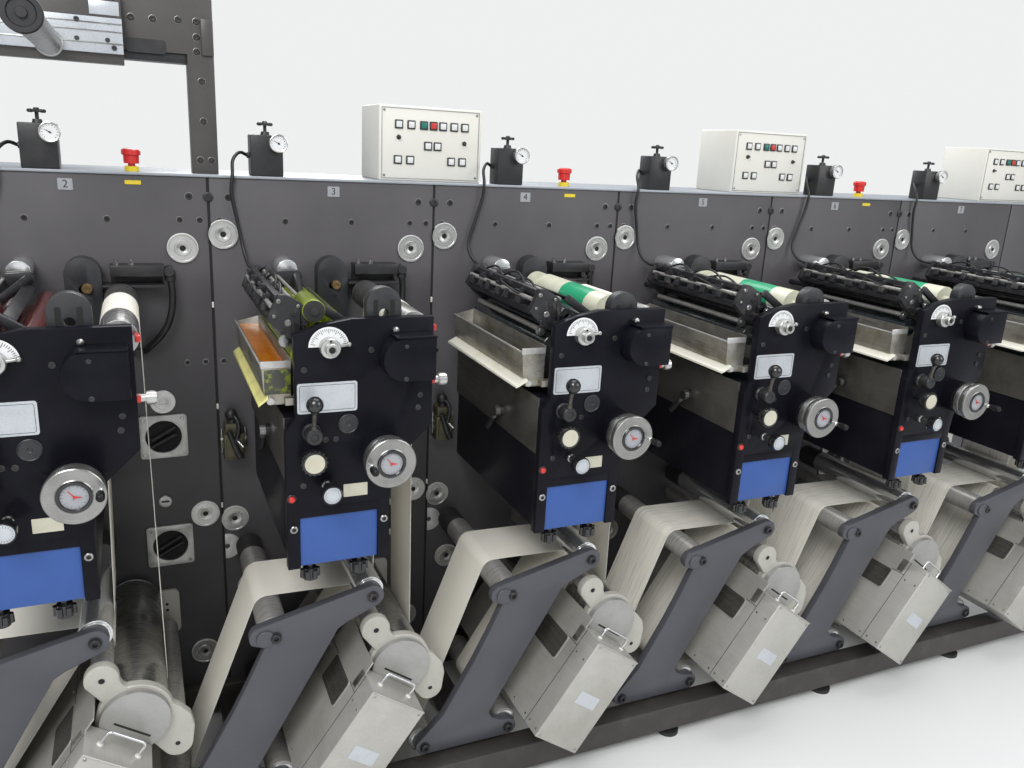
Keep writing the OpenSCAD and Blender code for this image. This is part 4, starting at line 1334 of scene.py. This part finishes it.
@dataclass
class InkUnit:
    """Rollers, bars, brackets and trough of the inking unit."""

    far: float = 112.0
    near: float = 484.0
    form: Point = (148, -222)
    rollers: tuple[Place, ...] = (
        (128, -322, 24), (170, -300, 20), (212, -272, 22), (160, -256, 18), (112, -236, 14))

    def build(self) -> None:
        """Makes the inking unit's pieces."""
        for bay, ink in enumerate((MAROON, LIME, TEAL, TEAL, TEAL, TEAL)):
            rubber = Shape(f"ink_train_{bay + 1}", ink)
            for x, z, r in self.rollers:
                low, high, pin = (118, 478, 6) if r < 20 else (60, 484, 39)
                rubber.turned((x, z), (
                    (7, low - 4), (r - 1, low - 4), (r, low - 3), (r, high - 1), (r - 1.2, high),
                    (7, high), (7, high + pin)), 40)
            rubber.finished((bay,), stands_for=("ink_rollers",) if bay == 0 else ())
            if bay in OPEN_BAYS:
                Shape(f"form_roller_{bay + 1}", ink).turned(self.form, (
                    (8, 400), (22, 400), (22.6, 401), (22.6, 504), (21, 506), (8, 506)), 44,
                ).finished((bay,))
        Shape("form_roller_caps", RUBBER).turned(self.form, (
            (21.2, 505.5), (21.2, 507.4), (8, 507.4), (8, 512), (ON_AXIS, 512)), 44,
        ).finished(OPEN_BAYS)
        self.bars()
        self.brackets()
        self.troughs()

    def bars(self) -> None:
        """Bars and thin pipes above the rollers."""
        bars = Shape("ink_bars", ROLLER)
        for x, z, r in ((70, -214, 5), (104, -198, 4.5), (138, -214, 4), (96, -284, 6)):
            bars.level_bar(x, z, (self.far, self.near), r)
        bars.finished()
        pipes = Shape("ink_pipes", HOSE)
        for low, high, lift in ((150, 262, 16), (262, 396, 20), (330, 452, 12)):
            points: list[Vector] = []
            for i in range(9):
                bend = math.sin(math.pi * i / 8)
                points.append(along(92 + 8 * bend, low + (high - low) * i / 8,
                                    -196 + lift * bend))
            pipes.pipe(points, 2.6, 10)
        pipes.finished(smooth=60)

    def brackets(self) -> None:
        """Brackets above the rollers, end caps on the frame's near plate, and the hose loop."""
        near = self.near
        arms = Shape("ink_brackets", WORN)
        for out, w, lift in ((132, 10, 3), (188, 12, -2), (236, 8, 5), (300, 12, 0),
                             (352, 9, 4), (418, 11, -3)):
            arms.block((66, 120), (out, out + w), (-213 + lift, -204 + lift), 1.2, -24)
            arms.block((84, 100), (out + 1, out + w + 3), (-206 + lift, -193 + lift), 1.2, -24)
            arms.block((58, 74), (out - 5, out + w + 6), (-234, -216 + lift), 1.6, -24)
        arms.block((176, 200), (self.far + 20, near - 10), (-228, -224), 1.0, -38)
        arms.block((148, 236), (near - 8, near + 4), (-246, -228), 2.0, -34)
        for spot in ((110, -228), (132, -246), (88, -262)):
            arms.screw(spot, 500, 5, 3)
        arms.finished()
        ends = Shape("ink_end_caps", STEEL)
        for x, z, r in ((122, -268, 8.5), (166, -258, 6), (92, -232, 6)):
            ends.turned((x, z), ((r, 0), (r, 9), (r - 1.4, 10.5), (r * 0.55, 10.5), (r * 0.5, 8),
                                 (ON_AXIS, 8)), 24, near)
        for x, z, r in ((98, -245, 7), (81, -202, 4.5), (118, -212, 3.5), (72, -231, 3.5),
                        (150, -262, 4)):
            ends.turned((x, z), ((r, 0), (r, 4), (r - 1, 5), (r * 0.5, 5), (r * 0.5, 1),
                                 (ON_AXIS, 1)), 20, 500)
        ends.turned((95, -284), ((13, 0), (13, 2), (5, 2.6), (5, 6), (ON_AXIS, 6)), 28, near)
        ends.finished()
        loop = along_line(((70, 300, -206), (58, 330, -196), (52, 372, -198), (60, 410, -208),
                           (76, 432, -214)))
        Shape("ink_hose_loops", HOSE).pipe(loop, 2.2, 10).finished(smooth=60)

    def troughs(self) -> None:
        """Ink in the troughs, rims and drip sheets."""
        pools = ((MAROON, -352), (ORANGE, -336), *((TEAL, -366),) * 4)
        for bay, (ink, top) in enumerate(pools):
            Shape(f"ink_pool_{bay + 1}", ink).plate(
                ((51, top), (97, top), (97, top - 5), (53, top - 5)), 64, 499, 0.5,
            ).finished((bay,))
        rims = Shape("trough_rims", FLANGE)
        rims.block((43.5, 46.5), (60, 503), (-331, -327), 0.8)
        rims.block((44, 101), (500, 503.4), (-334, -320), 0.8)
        rims.block((99.6, 102), (60, 503), (-340, -316), 0.6)
        rims.level_bar(60, -399, (503, 512), 7, 20).finished()
        wide = [(28, -407.2), (37, -403.4), (46, -398.4), (55.4, -393.2)]
        thin = [(36.4, -408), (42, -404), (48, -399.4), (55.4, -393.6)]
        for name, finish, bays, low in (("drip_sheets", DRIP, (0, 2, 3, 4, 5), wide),
                                        ("drip_sheet_stained", STAINED, (1,), thin)):
            high = [(x, z + 5.6) for x, z in reversed(low)]
            Shape(name, finish).plate([*low, *high], 64, 516, 0.4).finished(bays)
        front = Shape("trough_front_stained", GREENED)
        front.block((50, 101), (503.2, 504.8), (-387, -337), 0.5).finished((1,))


@dataclass
class WebArms:
    """Bolts on the arm plates, and sleeves and rings on the web rollers."""

    face: float = 490.0
    roller: float = 32.0
    axes: tuple[Point, ...] = ((60, -939), (-154, -1317), (68, -1317), (274, -879))

    def build(self) -> None:
        """Makes the arms' and rollers' small pieces."""
        r = self.roller
        Shape("arm_sheets", ARM).plate([
            *arc((274, -879), 26, 105, -60, 8), (217, -932), (195, -946), (185, -964),
            (14, -1260), (21, -1279), (48, -1292), *arc((68, -1317), 22, 92, -90, 10),
            *arc((-154, -1317), 22, -90, -210, 8), (-108, -1240), (-34, -1108), (0, -1040),
            (36, -962), *arc((30, -936), 25, 215, 95, 8),
        ], 468, self.face, 1.2, 2).finished(stands_for=("arm_plates",))
        bolts = Shape("arm_bolts", WORN)
        sleeves = Shape("roller_sleeves", RUBBER)
        rings = Shape("roller_rings", CHROME)
        for axis in self.axes:
            bolts.turned(axis, ((13, 0), (13, 2), (10.5, 2.6), (10.5, 8.4), (9.4, 9.6), (5, 9.6),
                                (4.6, 5), (ON_AXIS, 5)), 28, self.face)
            sleeves.turned(axis, ((r + 0.8, 31), (r + 0.8, 104), (r, 105)))
            rings.turned(axis, ((r - 4, 461), (r - 4, 464), (r - 8, 465), (10, 465)))
        bolts.screw((22, -936), self.face, 3, 0.8).finished()
        Shape("arm_eccentrics", ARM).turned(
            (38, -938), ((19, 0), (19, 4), (18, 5), (ON_AXIS, 5)), 36, self.face).finished()
        sleeves.finished()
        rings.finished()


@dataclass
class LampUnit:
    """Details of the lamp unit: painted shade in its holes and slot, seams, grille, screws and
    handle.
    """

    drum: Point = (335, -1060)
    lean: float = -35.5
    lobes: tuple[Place, ...] = ((279.5, -961, 6.0), (412, -1143, 5.0))
    face: float = 500.0
    box_face: float = 610.0
    left: float = -86.0

    def at(self, x: float, z: float) -> Point:
        """A point of the lamp box's own plane in the bay's frame."""
        return turned_about(self.drum, self.lean, (x, z))

    def sheet(self, left: float, right: float, top: float, foot: float) -> list[Point]:
        """Corners of a rectangle in the lamp box's own plane."""
        return [self.at(x, z) for x, z in ((left, top), (right, top), (right, foot), (left, foot))]

    def build(self) -> None:
        """Makes the lamp unit's pieces."""
        upper, lower = (lobe[:2] for lobe in self.lobes)
        top = [self.at(*p) for p in ((-72, 62), (-60, 54), (66, 54), (98, 46), (120, 26))]
        Shape("lamp_castings_cast", CASTING).plate(
            [*arc(upper, 33, 200, 10, 12), *top, *arc(lower, 31, 0, -150, 12)],
            478, self.face, 2.5, 3,
        ).plate(arc(self.drum, 75, 0, 351, 39), 479, self.face - 0.4, 2.0).plate(
            round_box((415, -1111), 56, 124, 14), 0, 10, 1.5, 2,
        ).finished(stands_for=("lamp_castings",))
        Shape("lamp_lids", LID).turned(self.drum, (
            (68, 499), (68, 513.6), (67.4, 515.2), (65.8, 516), (ON_AXIS, 516)), 72,
        ).finished(stands_for=("lamp_covers",))
        Shape("drum_rings", CAP).turned(self.drum, (
            (60, 16), (60, 29), (52, 30), (30, 30), (30, 16)), 56).finished()
        holes = Shape("lamp_hole_shade", SEAM_AND_HOLE_SHADE)
        rims = Shape("lamp_hole_rims", CASTING)
        for x, z, r in self.lobes:
            # Painted shade: a black disc in each lobe stands for the shade inside its hole.
            holes.disc((x, z), self.face + 0.2, self.face + 1.0, r, segments=20)
            rims.turned((x, z), ((r + 2.4, 0), (r + 2.0, 1.4), (r + 0.4, 1.4), (r, 0.4)), 28,
                        self.face)
        holes.finished()
        rims.finished()
        # Painted shade: a thin black plate on the lid stands for the shade inside its slot.
        Shape("lamp_slot_shade", SEAM_AND_HOLE_SHADE).plate(
            self.sheet(-36, 44, -15, -19.5), 515.7, 516.4).finished()
        self.seams()
        self.grille()
        self.box()
        self.handle()

    def seams(self) -> None:
        """Dark seams on the side of the lamp box."""
        left = self.left
        seams = Shape("lamp_seams", SEAM_AND_HOLE_SHADE)
        for out, top in ((236, -77), (549, -36)):
            seams.plate(self.sheet(left - 0.4, left + 1.0, top, -309), out, out + 1.4)
        seams.plate(self.sheet(left - 0.4, left + 1, -80, -81.4), 238, 549).finished()

    def box(self) -> None:
        """Screws, bare plate and lips of the lamp box."""
        left, face = self.left, self.box_face
        screws = Shape("lamp_screws", STEEL)
        for x, z in ((-76, -44), (48, -44), (-76, -300), (48, -300)):
            screws.screw(self.at(x, z), face, 3.6, 1.4)
        for out in (256, 330, 404, 470, 536, 562, 598):
            for z in (-296,) if 420 <= out <= 540 else (-92, -296):
                spot, side = self.at(left, z), self.at(left - 1.6, z)
                screws.bar(along(spot[0], out, spot[1]), along(side[0], out, side[1]), 3.2, 2.6,
                           14)
        screws.finished()
        Shape("lamp_bare_plates", LABEL).plate(
            self.sheet(-44, 22, -159, -193), face, face + 1, 0.3).finished()
        lip = Shape("lamp_box_lips", SHEET).plate(
            self.sheet(left, 58, -34, -37), face - 4, face + 2.5, 0.8)
        lip.plate(self.sheet(left, left + 3.5, -7, -78), 330, 540, 0.6).finished()

    def grille(self) -> None:
        """Makes the dark grille, its holes painted near-black as shade, with its frame on the side
        of the lamp box.
        """
        hold = Matrix.Rotation(math.radians(-self.lean), 4, "Y")
        to_side = Matrix(((0, -1, 0, 0), (-1, 0, 0, 0), (0, 0, 1, 0), (0, 0, 0, 1)))
        shift = Matrix.Translation((self.left, 0, 0))
        place = Matrix.Translation((self.drum[0], 0, self.drum[1])) @ hold
        for name, finish, grow, lift, bevel in (("lamp_grille_rims", SHEET, 4.0, 1.4, 0.5),
                                                ("lamp_grilles", GRILLE, 0.0, 2.2, 0.3)):
            shape = Shape(name, finish)
            outline = round_box((448, -116), 120 + 2 * grow, 66 + 2 * grow, 8 + grow)
            shape.plate(outline, -lift, 1.0, bevel)
            for move in (to_side, shift, place):
                bmesh.ops.transform(shape.mesh, verts=shape.mesh.verts, matrix=move)
            bmesh.ops.recalc_face_normals(shape.mesh, faces=shape.mesh.faces)
            shape.finished()

    def handle(self) -> None:
        """Makes the wire handle that stands on the box's top face, with its bent corners."""
        wire = Shape("lamp_wire_handles", CHROME)
        out, middle, half, foot, top, bend = 567.0, -14.0, 40.0, -34.5, -3.0, 9.0
        corner = (middle - half + bend, top - bend)
        rises = [(middle - half, foot), *arc(corner, bend, 180, 90, 4)]
        rises += [(2 * middle - x, z) for x, z in reversed(rises)]
        spots = [self.at(x, z) for x, z in rises]
        way = [along(x, out, z) for x, z in spots]
        for a, b in zip(way, way[1:]):
            wire.bar(a, b, 3.2, segments=14).ball(b, 3.2)
        wire.finished(stands_for=("lamp_handles",), smooth=60)
        pads = Shape("lamp_handle_pads", BOX)
        for x in (middle - half, middle + half):
            low, high = self.at(x, foot), self.at(x, foot + 4)
            pads.bar(along(low[0], out, low[1]), along(high[0], out, high[1]), 7, 5.6, 24)
        pads.finished()


@dataclass
class WallFittings:
    """The bracket with its valve on the wall, the connectors and the hoses."""

    sides: int = 14
    hose_radius: float = 8.0
    air_radius: float = 4.0
    hose: tuple[Place, ...] = (
        (466, 30, -229), (469, 31, -262), (466, 33, -300), (455, 34, -338), (436, 31, -368),
        (416, 24, -390), (403, 15, -402), (391, 12, -408))

    def build(self) -> None:
        """Makes the fittings and the hoses that lead to them."""
        block = Shape("bracket_blocks", BRACKET)
        for x, out, z, bevel in (
            ((340, 454), (10, 44), (-223, -197), 1.6), ((340, 450), (0, 12), (-241, -197), 1.2),
            ((322, 452), (0, 54), (-247, -241), 1.0), ((376, 390), (0, 18), (-416, -400), 1.4),
        ):
            block.block(x, out, z, bevel)
        block.turned((464, -212), ((6, 14), (12, 14), (12, 44), (10.6, 46), (ON_AXIS, 46)), 28)
        block.post(466, 30, (-234, -212), 12, segments=24)
        block.finished(stands_for=("wall_brackets",))
        nuts = Shape("bracket_nuts", STEEL)
        for x in (352, 384):
            nuts.post(x, 27, (-197.5, -189), 6, segments=6)
            nuts.post(x, 27, (-190, -185), 3, segments=12)
        nuts.finished()
        Shape("red_fittings", RED).block((385, 395), (500, 526), (-266, -254), 1.6).finished()
        self.connectors()
        for bay in ALL_BAYS:
            self.air_hose(bay)
            self.tube(f"wall_hose_{bay + 1}", bay, self.hose, self.hose_radius)

    def connectors(self) -> None:
        """Clamp frames, locks and cable glands of the connectors on the wall."""
        body = Shape("connector_bodies", OLIVE)
        body.block((8, 58), (0, 48), (-690, -622), 3).block((12, 54), (0, 42), (-622, -596), 4)
        body.plate(round_box((33, -656), 40, 50, 5), 48, 53, 1.2)
        body.block((4, 62), (16, 30), (-664, -648), 2).finished(stands_for=("connectors",))
        clamp = Shape("connector_clamps", STEEL)
        for x in (4.5, 61.5):
            clamp.block((x - 1.6, x + 1.6), (18, 26), (-676, -612), 1.0)
            clamp.bar(along(x - 3, 22, -641), along(x + 3, 22, -641), 5, segments=16)
        clamp.bar(along(38, 52, -636), along(52, 66, -652), 5, segments=16).finished()
        gland = Shape("connector_glands", BRACKET).post(30, 28, (-598, -584), 12, 10, 8)
        gland.ball(along(28, 30, -574), 15)
        gland.bar(along(20, 52, -612), along(40, 56, -672), 7, 8.5, 16)
        gland.bar(along(40, 56, -668), along(46, 57, -684), 10, 8, 16)
        line = along_line(((30, 34, -574), (40, 44, -584), (44, 52, -604), (38, 55, -630),
                           (30, 54, -652)))
        gland.pipe(line, 5.5, 12).finished(smooth=60)

    def air_hose(self, bay: int) -> None:
        """The hose from the regulator down to the bracket, on the way that its solid takes.

        Args:
            bay: Bay of the hose.
        """
        x, down = REGULATOR_X[bay % 2], (96, 72)[bay % 2]
        self.tube(f"air_hose_{bay + 1}", bay, (
            (x - 41.8, -46, 56), (x - 61.5, -30, 62), (x - 79.5, -6, 44), (x - 83.5, 13, 12),
            (x - 87.5, 12, -30), ((x - 88 + down) / 2, 10, -90), (down, 12, -150),
            (down + 6, 34, -186), (down + 10, 66, -198), (88, 91.7, -198)), self.air_radius)

    def tube(self, name: str, bay: int, points: Sequence[Place], radius: float) -> None:
        """Args:
            name: Name of the piece.
            bay: Bay of the hose.
            points: Its way, as across, out and up.
            radius: Radius of the hose.
        """
        line = along_line(points)
        shape = Shape(name, HOSE)
        rings: list[list[bmesh.types.BMVert]] = []
        side = Vector((0, 1, 0))
        for i, spot in enumerate(line):
            way = (line[min(i + 1, len(line) - 1)] - line[max(i - 1, 0)]).normalized()
            side = (side - way * side.dot(way)).normalized()
            other = way.cross(side)
            turns = (2 * math.pi * k / self.sides for k in range(self.sides))
            rings.append([
                shape.mesh.verts.new(spot + radius * (math.cos(a) * side + math.sin(a) * other))
                for a in turns])
        for one, two in zip(rings, rings[1:]):
            for k in range(self.sides):
                after = (k + 1) % self.sides
                shape.mesh.faces.new((one[k], one[after], two[after], two[k]))
        shape.mesh.faces.new(list(reversed(rings[0])))
        shape.mesh.faces.new(rings[-1])
        bmesh.ops.recalc_face_normals(shape.mesh, faces=shape.mesh.faces)
        stands_for = ("air_hoses",) if name == "air_hose_1" else ()
        made = shape.finished((bay,), stands_for=stands_for, smooth=60)


@dataclass
class ShelfThings:
    """Control boxes, regulators, stops and the gantry on the shelf."""

    top: float = 9.0
    box_face: float = -35.0
    regulator_out: float = -36.0
    stop: Point = (400, -42)
    rows: tuple[tuple[tuple[float, ...], float], ...] = (
        ((472, 505, 539, 565, 591, 622, 652), 150), ((551, 577), 99), ((470, 503, 616, 647), 62))

    def build(self) -> None:
        """Makes what stands on the shelf."""
        self.boxes()
        self.regulators()
        self.gantry()
        self.gantry_screws()
        self.rail_parts_and_underside_shade()
        self.stops()

    def boxes(self) -> None:
        """Front panel, bezels and coloured caps of the control boxes."""
        face = self.box_face
        rim = Shape("box_rims", PANEL)
        for x, z in (((427, 693), (14.5, 16)), ((427, 693), (189, 190.5)),
                     ((427, 428.5), (14.5, 190.5)), ((691.5, 693), (14.5, 190.5))):
            rim.block(x, (face, face + 1.6), z, 0.4)
        rim.finished(BOX_BAYS)
        bezels = Shape("button_bezels", BEZEL)
        white = Shape("buttons_white", BUTTON)
        coloured = {3: Shape("buttons_red", BUTTON_RED), 2: Shape("buttons_green", BUTTON_GREEN)}
        for spots, z in self.rows:
            for i, x in enumerate(spots):
                cap = coloured.get(i, white) if len(spots) == 7 else white
                bezels.block((x - 11, x + 11), (face, face + 3.6), (z - 11, z + 11), 1.6)
                cap.block((x - 7.5, x + 7.5), (face + 3, face + 5.4), (z - 7.5, z + 7.5), 1.2)
        for spot in ((472, 118), (652, 110)):
            bezels.turned(spot, ((6, 0), (6, 2), (3, 3), (2.4, 11), (ON_AXIS, 11.4)), 16, face)
        bezels.finished(BOX_BAYS)
        white.finished(BOX_BAYS, stands_for=("control_buttons",))
        for cap in coloured.values():
            cap.finished(BOX_BAYS)
        screws = Shape("box_screws", STEEL)
        for x in (434, 686):
            for z in (22, 183):
                screws.screw((x, z), face, 3.4, 1.4)
        screws.finished(BOX_BAYS)

    def regulators(self) -> None:
        """Regulator blocks with knob and gauge."""
        out, top = self.regulator_out, self.top + 96
        for bay in ALL_BAYS:
            n, x = bay + 1, REGULATOR_X[bay % 2]
            body = Shape(f"regulator_{n}", BRACKET)
            body.block((x - 37.5, x + 37.5), (-66, -6), (self.top, top), 3)
            body.post(x, out, (top, top + 8), 11, 9, 24).post(x, out, (top + 8, top + 24), 4)
            body.post(x, out, (top + 22, top + 28), 18, segments=28)
            for i in range(8):
                a = math.radians(i * 45)
                body.ball(along(x + 15 * math.cos(a), out + 15 * math.sin(a), top + 25), 4.0)
            body.post(x, out, (top + 28, top + 32), 7, 5, 20)
            body.bar(along(x - 43, -46, 56), along(x - 37, -46, 56), 7, segments=8)
            body.finished((bay,), stands_for=("regulators",) if bay == 0 else ())
            gauge = (x + 25, self.top + 78)
            Shape(f"gauge_case_{n}", TURNED).turned(gauge, (
                (19, -6), (20.5, -4), (20.5, 8), (21.5, 9), (21.5, 12), (20, 12.6), (18.6, 12),
                (18.6, 9)), 40).finished((bay,))
            Shape(f"gauge_face_{n}", DIAL).turned(
                gauge, ((18.8, 8.4), (18.8, 9.4), (ON_AXIS, 9.4)), 40).finished((bay,))
            marks = Shape(f"gauge_marks_{n}", BEZEL)
            for i in range(13):
                marks.plate(spoke(gauge, -45 + i * 22.5, 13.5, 16.5, 0.4), 9.4, 9.7)
            marks.plate(spoke(gauge, 150, -4, 12, 1, 0.4), 9.9, 10.4)
            marks.disc(gauge, 9.4, 10.8, 2.2, segments=16).finished((bay,))

    def gantry(self) -> None:
        """Carriage, rail and roller of the gantry."""
        carriage = Shape("gantry_carriage", GANTRY)
        carriage.block((60, 400), (-30.5, 4), (236, 384), 2)
        carriage.block((563, 589), (-30, -24), (272, 350), 1.5).finished((0,))
        Shape("gantry_rail", LABEL).block((60, 400), (4, 14), (256, 328), 1.2).finished((0,))
        axis = (258, 268)
        Shape("gantry_roller_body", STEEL).turned(axis, (
            (10, 14), (28, 14), (28, 30), (25, 31), (25, 520), (10, 520)), 56,
        ).finished((0,), stands_for=("gantry_roller",))
        Shape("gantry_roller_end", BRACKET).turned(axis, (
            (24, 519), (31, 519), (31, 530), (29.6, 532), (22, 532), (20, 529), (9, 529),
            (8, 534), (ON_AXIS, 534)), 56).finished((0,))

    def gantry_screws(self) -> None:
        """Ringed screws of the gantry."""
        screws = Shape("gantry_screws", BRACKET)
        rings = Shape("gantry_screw_rings", SCREW)
        frame_screws = (
            (-6, 279), (-6, 310), (-6, 343), (26, 343), (419, 339), (463, 340), (516, 343),
            (554, 343), (553, 310), (552, 279), (560, 216), (560, 128), (549, 40), (574, 40),
            (0, 216), (0, 128), (-13, 40), (13, 40))
        carriage_screws = ((75, 371), (385, 371), (230, 371))
        for spots, out in ((frame_screws, -30), (carriage_screws, 4)):
            for spot in spots:
                rings.turned(spot, ((8.6, 0), (8.4, 0.6), (7.6, 0.8), (7.2, 0.1)), 24, out)
                screws.turned(spot, ((7, 0), (7, 2), (6, 3), (3.4, 3), (3.2, 0.6)), 20, out)
        rings.finished((0,))
        screws.finished((0,))

    def rail_parts_and_underside_shade(self) -> None:
        """A near-black block that darkens the underside of the gantry's beam, as painted shade, and
        a dark rounded plate on the frame's face; grooves and bolts of its rail, and its bare plate.
        """
        shade_block_and_plate = Shape("gantry_underside_shade_and_dark_plate", BRACKET)
        # Painted shade: this near-black block, out -36 to -86 at the beam's foot, stands for the
        # shade on the beam's underside.
        shade_block_and_plate.block((-29, 531), (-86, -36), (252, 273), 1.0)
        shade_block_and_plate.plate(round_box((446, 282), 84, 30, 8), -30.2, -29.2, 0.4).finished((0,))
        grooves = Shape("gantry_rail_grooves", STEEL)
        for z in (276, 300, 316):
            grooves.block((60.5, 399.5), (13, 15), (z - 1.6, z + 1.6), 0.8)
        grooves.finished((0,))
        bolts = Shape("gantry_rail_bolts", OXIDE)
        for spot in ((382, 268), (313, 320), (90, 292)):
            bolts.screw(spot, 14, 5.5, 3)
        for spot in ((311, 282), (370, 283)):
            bolts.disc(spot, 13.6, 14.3, 5, segments=20)
        bolts.finished((0,))
        Shape("gantry_bare_plate", LABEL).block(
            (338, 396), (3.5, 5), (334, 362), 0.4).finished((0,))

    def stops(self) -> None:
        """Mushroom heads of the emergency stops, on their own bodies, and their bases."""
        x, out = self.stop
        for i, bay in enumerate(STOP_BAYS, 1):
            body = f"stop_head_{i}"
            head = Shape(f"stop_button_{i}", RED)
            for low, high, r, top in ((26.5, 44, 16.5, 17), (44, 46, 17, 20.4),
                                      (46, 55, 20.6, 20.6), (55, 58, 20.6, 18.6),
                                      (58, 59.6, 18.6, 13)):
                head.post(x, out, (low, high), r, top, 40)
            head.post(x, out, (14.8, 27), 7.8, segments=24)
            head.finished((bay,), body, (body,), smooth=50)
        base = Shape("stop_base_rings", YELLOW)
        for low, high, r, inner in ((9, 19, 15.5, 11.5), (19, 20.4, 15, 11.5)):
            ring = ((inner, low), (r, low), (r, high - 0.8), (r - 0.8, high), (inner, high))
            made = [base.mesh.verts.new((x + q, -out, z)) for q, z in ring]
            edges = [base.mesh.edges.new(pair) for pair in zip(made, made[1:] + made[:1])]
            bmesh.ops.spin(base.mesh, geom=made + edges, cent=(x, -out, 0), axis=(0, 0, 1),
                           angle=2 * math.pi, steps=40, use_merge=True)
        bmesh.ops.remove_doubles(base.mesh, verts=base.mesh.verts, dist=MERGE)
        bmesh.ops.recalc_face_normals(base.mesh, faces=base.mesh.faces)
        base.finished(STOP_BAYS, stands_for=("stop_bases",))


@dataclass(frozen=True)
class Lamp:
    """A soft round lamp over the studio floor."""

    name: str
    place: Place
    aim: Place
    size: float
    power: float

    def hang(self) -> None:
        """Adds the lamp to the scene, turned to its aim."""
        data = bpy.data.lights.new(self.name, "AREA")
        data.shape = "DISK"
        data.size = self.size
        data.energy = self.power
        lamp = bpy.data.objects.new(self.name, data)
        bpy.context.scene.collection.objects.link(lamp)
        way = Vector(self.aim) - Vector(self.place)
        turn = way.to_track_quat("-Z", "Y").to_matrix().to_4x4()
        lamp.matrix_world = Matrix.Translation(self.place) @ turn


@dataclass(frozen=True)
class Studio:
    """Camera, light and floor."""

    place: Vector = Vector((-1.27973, -1.94238, 1.55128))
    right: Vector = Vector((0.9141317, -0.40214238, 0.05142699))
    up: Vector = Vector((0.06360995, 0.267547, 0.96144286))
    lens: float = 29.2993
    around: tuple[float, ...] = (0.50, 0.52, 0.55, 1)
    behind: tuple[float, ...] = (0.86, 0.87, 0.87, 1)
    lamps: tuple[Lamp, ...] = (
        Lamp("key", (-2.6, -3.2, 4.2), (0, 0, 0.8), 2.6, 165.0),
        Lamp("fill", (2.8, -3.4, 3.0), (0.4, 0, 0.7), 3.0, 72.0),
        Lamp("low", (-1.6, -4.2, 1.2), (0.2, 0, 0.4), 2.4, 9.0),
        Lamp("top", (0.2, 0.4, 4.6), (0, -0.2, 1.0), 3.4, 95.0),
        Lamp("rear", (0.0, 4.0, 3.4), (0, 0.4, 1.0), 3.0, 90.0),
    )

    def build(self) -> None:
        """Sets up the camera, the floor, the surroundings and the lamps."""
        data = bpy.data.cameras.new("camera")
        data.lens = self.lens
        data.sensor_width = 36
        data.clip_end = 60
        camera = bpy.data.objects.new("camera", data)
        bpy.context.scene.collection.objects.link(camera)
        back = self.right.cross(self.up)
        turn = Matrix((self.right, self.up, back)).transposed().to_4x4()
        camera.matrix_world = Matrix.Translation(self.place) @ turn
        bpy.context.scene.camera = camera
        bpy.context.scene.view_settings.view_transform = "Standard"
        self.floor()
        self.surroundings()
        for lamp in self.lamps:
            lamp.hang()

    def floor(self) -> None:
        """Lays the plain floor."""
        sheet = bmesh.new()
        bmesh.ops.create_grid(sheet, x_segments=1, y_segments=1, size=30)
        mesh = bpy.data.meshes.new("floor")
        sheet.to_mesh(mesh)
        sheet.free()
        floor = bpy.data.objects.new("floor", mesh)
        bpy.context.scene.collection.objects.link(floor)
        mesh.materials.append(FLOOR.material())

    def surroundings(self) -> None:
        """Sets the pale surroundings, paler where the camera sees them."""
        world = bpy.data.worlds.new("studio")
        bpy.context.scene.world = world
        world.use_nodes = True
        nodes, links = world.node_tree.nodes, world.node_tree.links
        rays = nodes.new("ShaderNodeLightPath")
        mix = nodes.new("ShaderNodeMix")
        mix.data_type = "RGBA"
        mix.inputs["A"].default_value = self.around
        mix.inputs["B"].default_value = self.behind
        links.new(rays.outputs["Is Camera Ray"], mix.inputs["Factor"])
        links.new(mix.outputs["Result"], nodes["Background"].inputs["Color"])


def main() -> None:
    """Builds the press's pieces in order."""
    logging.basicConfig(level=logging.INFO, format="%(message)s")
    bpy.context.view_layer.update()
    Studio().build()
    Plain().dress()
    Wall().build()
    UnitFront().build()
    for bay, crank in zip(ALL_BAYS, CRANK_TURNS):
        Handwheel(bay, crank).build()
        ThrowLever(bay).build()
    InkUnit().build()
    WebArms().build()
    LampUnit().build()
    WallFittings().build()
    ShelfThings().build()


if __name__ == "__main__":
    main()
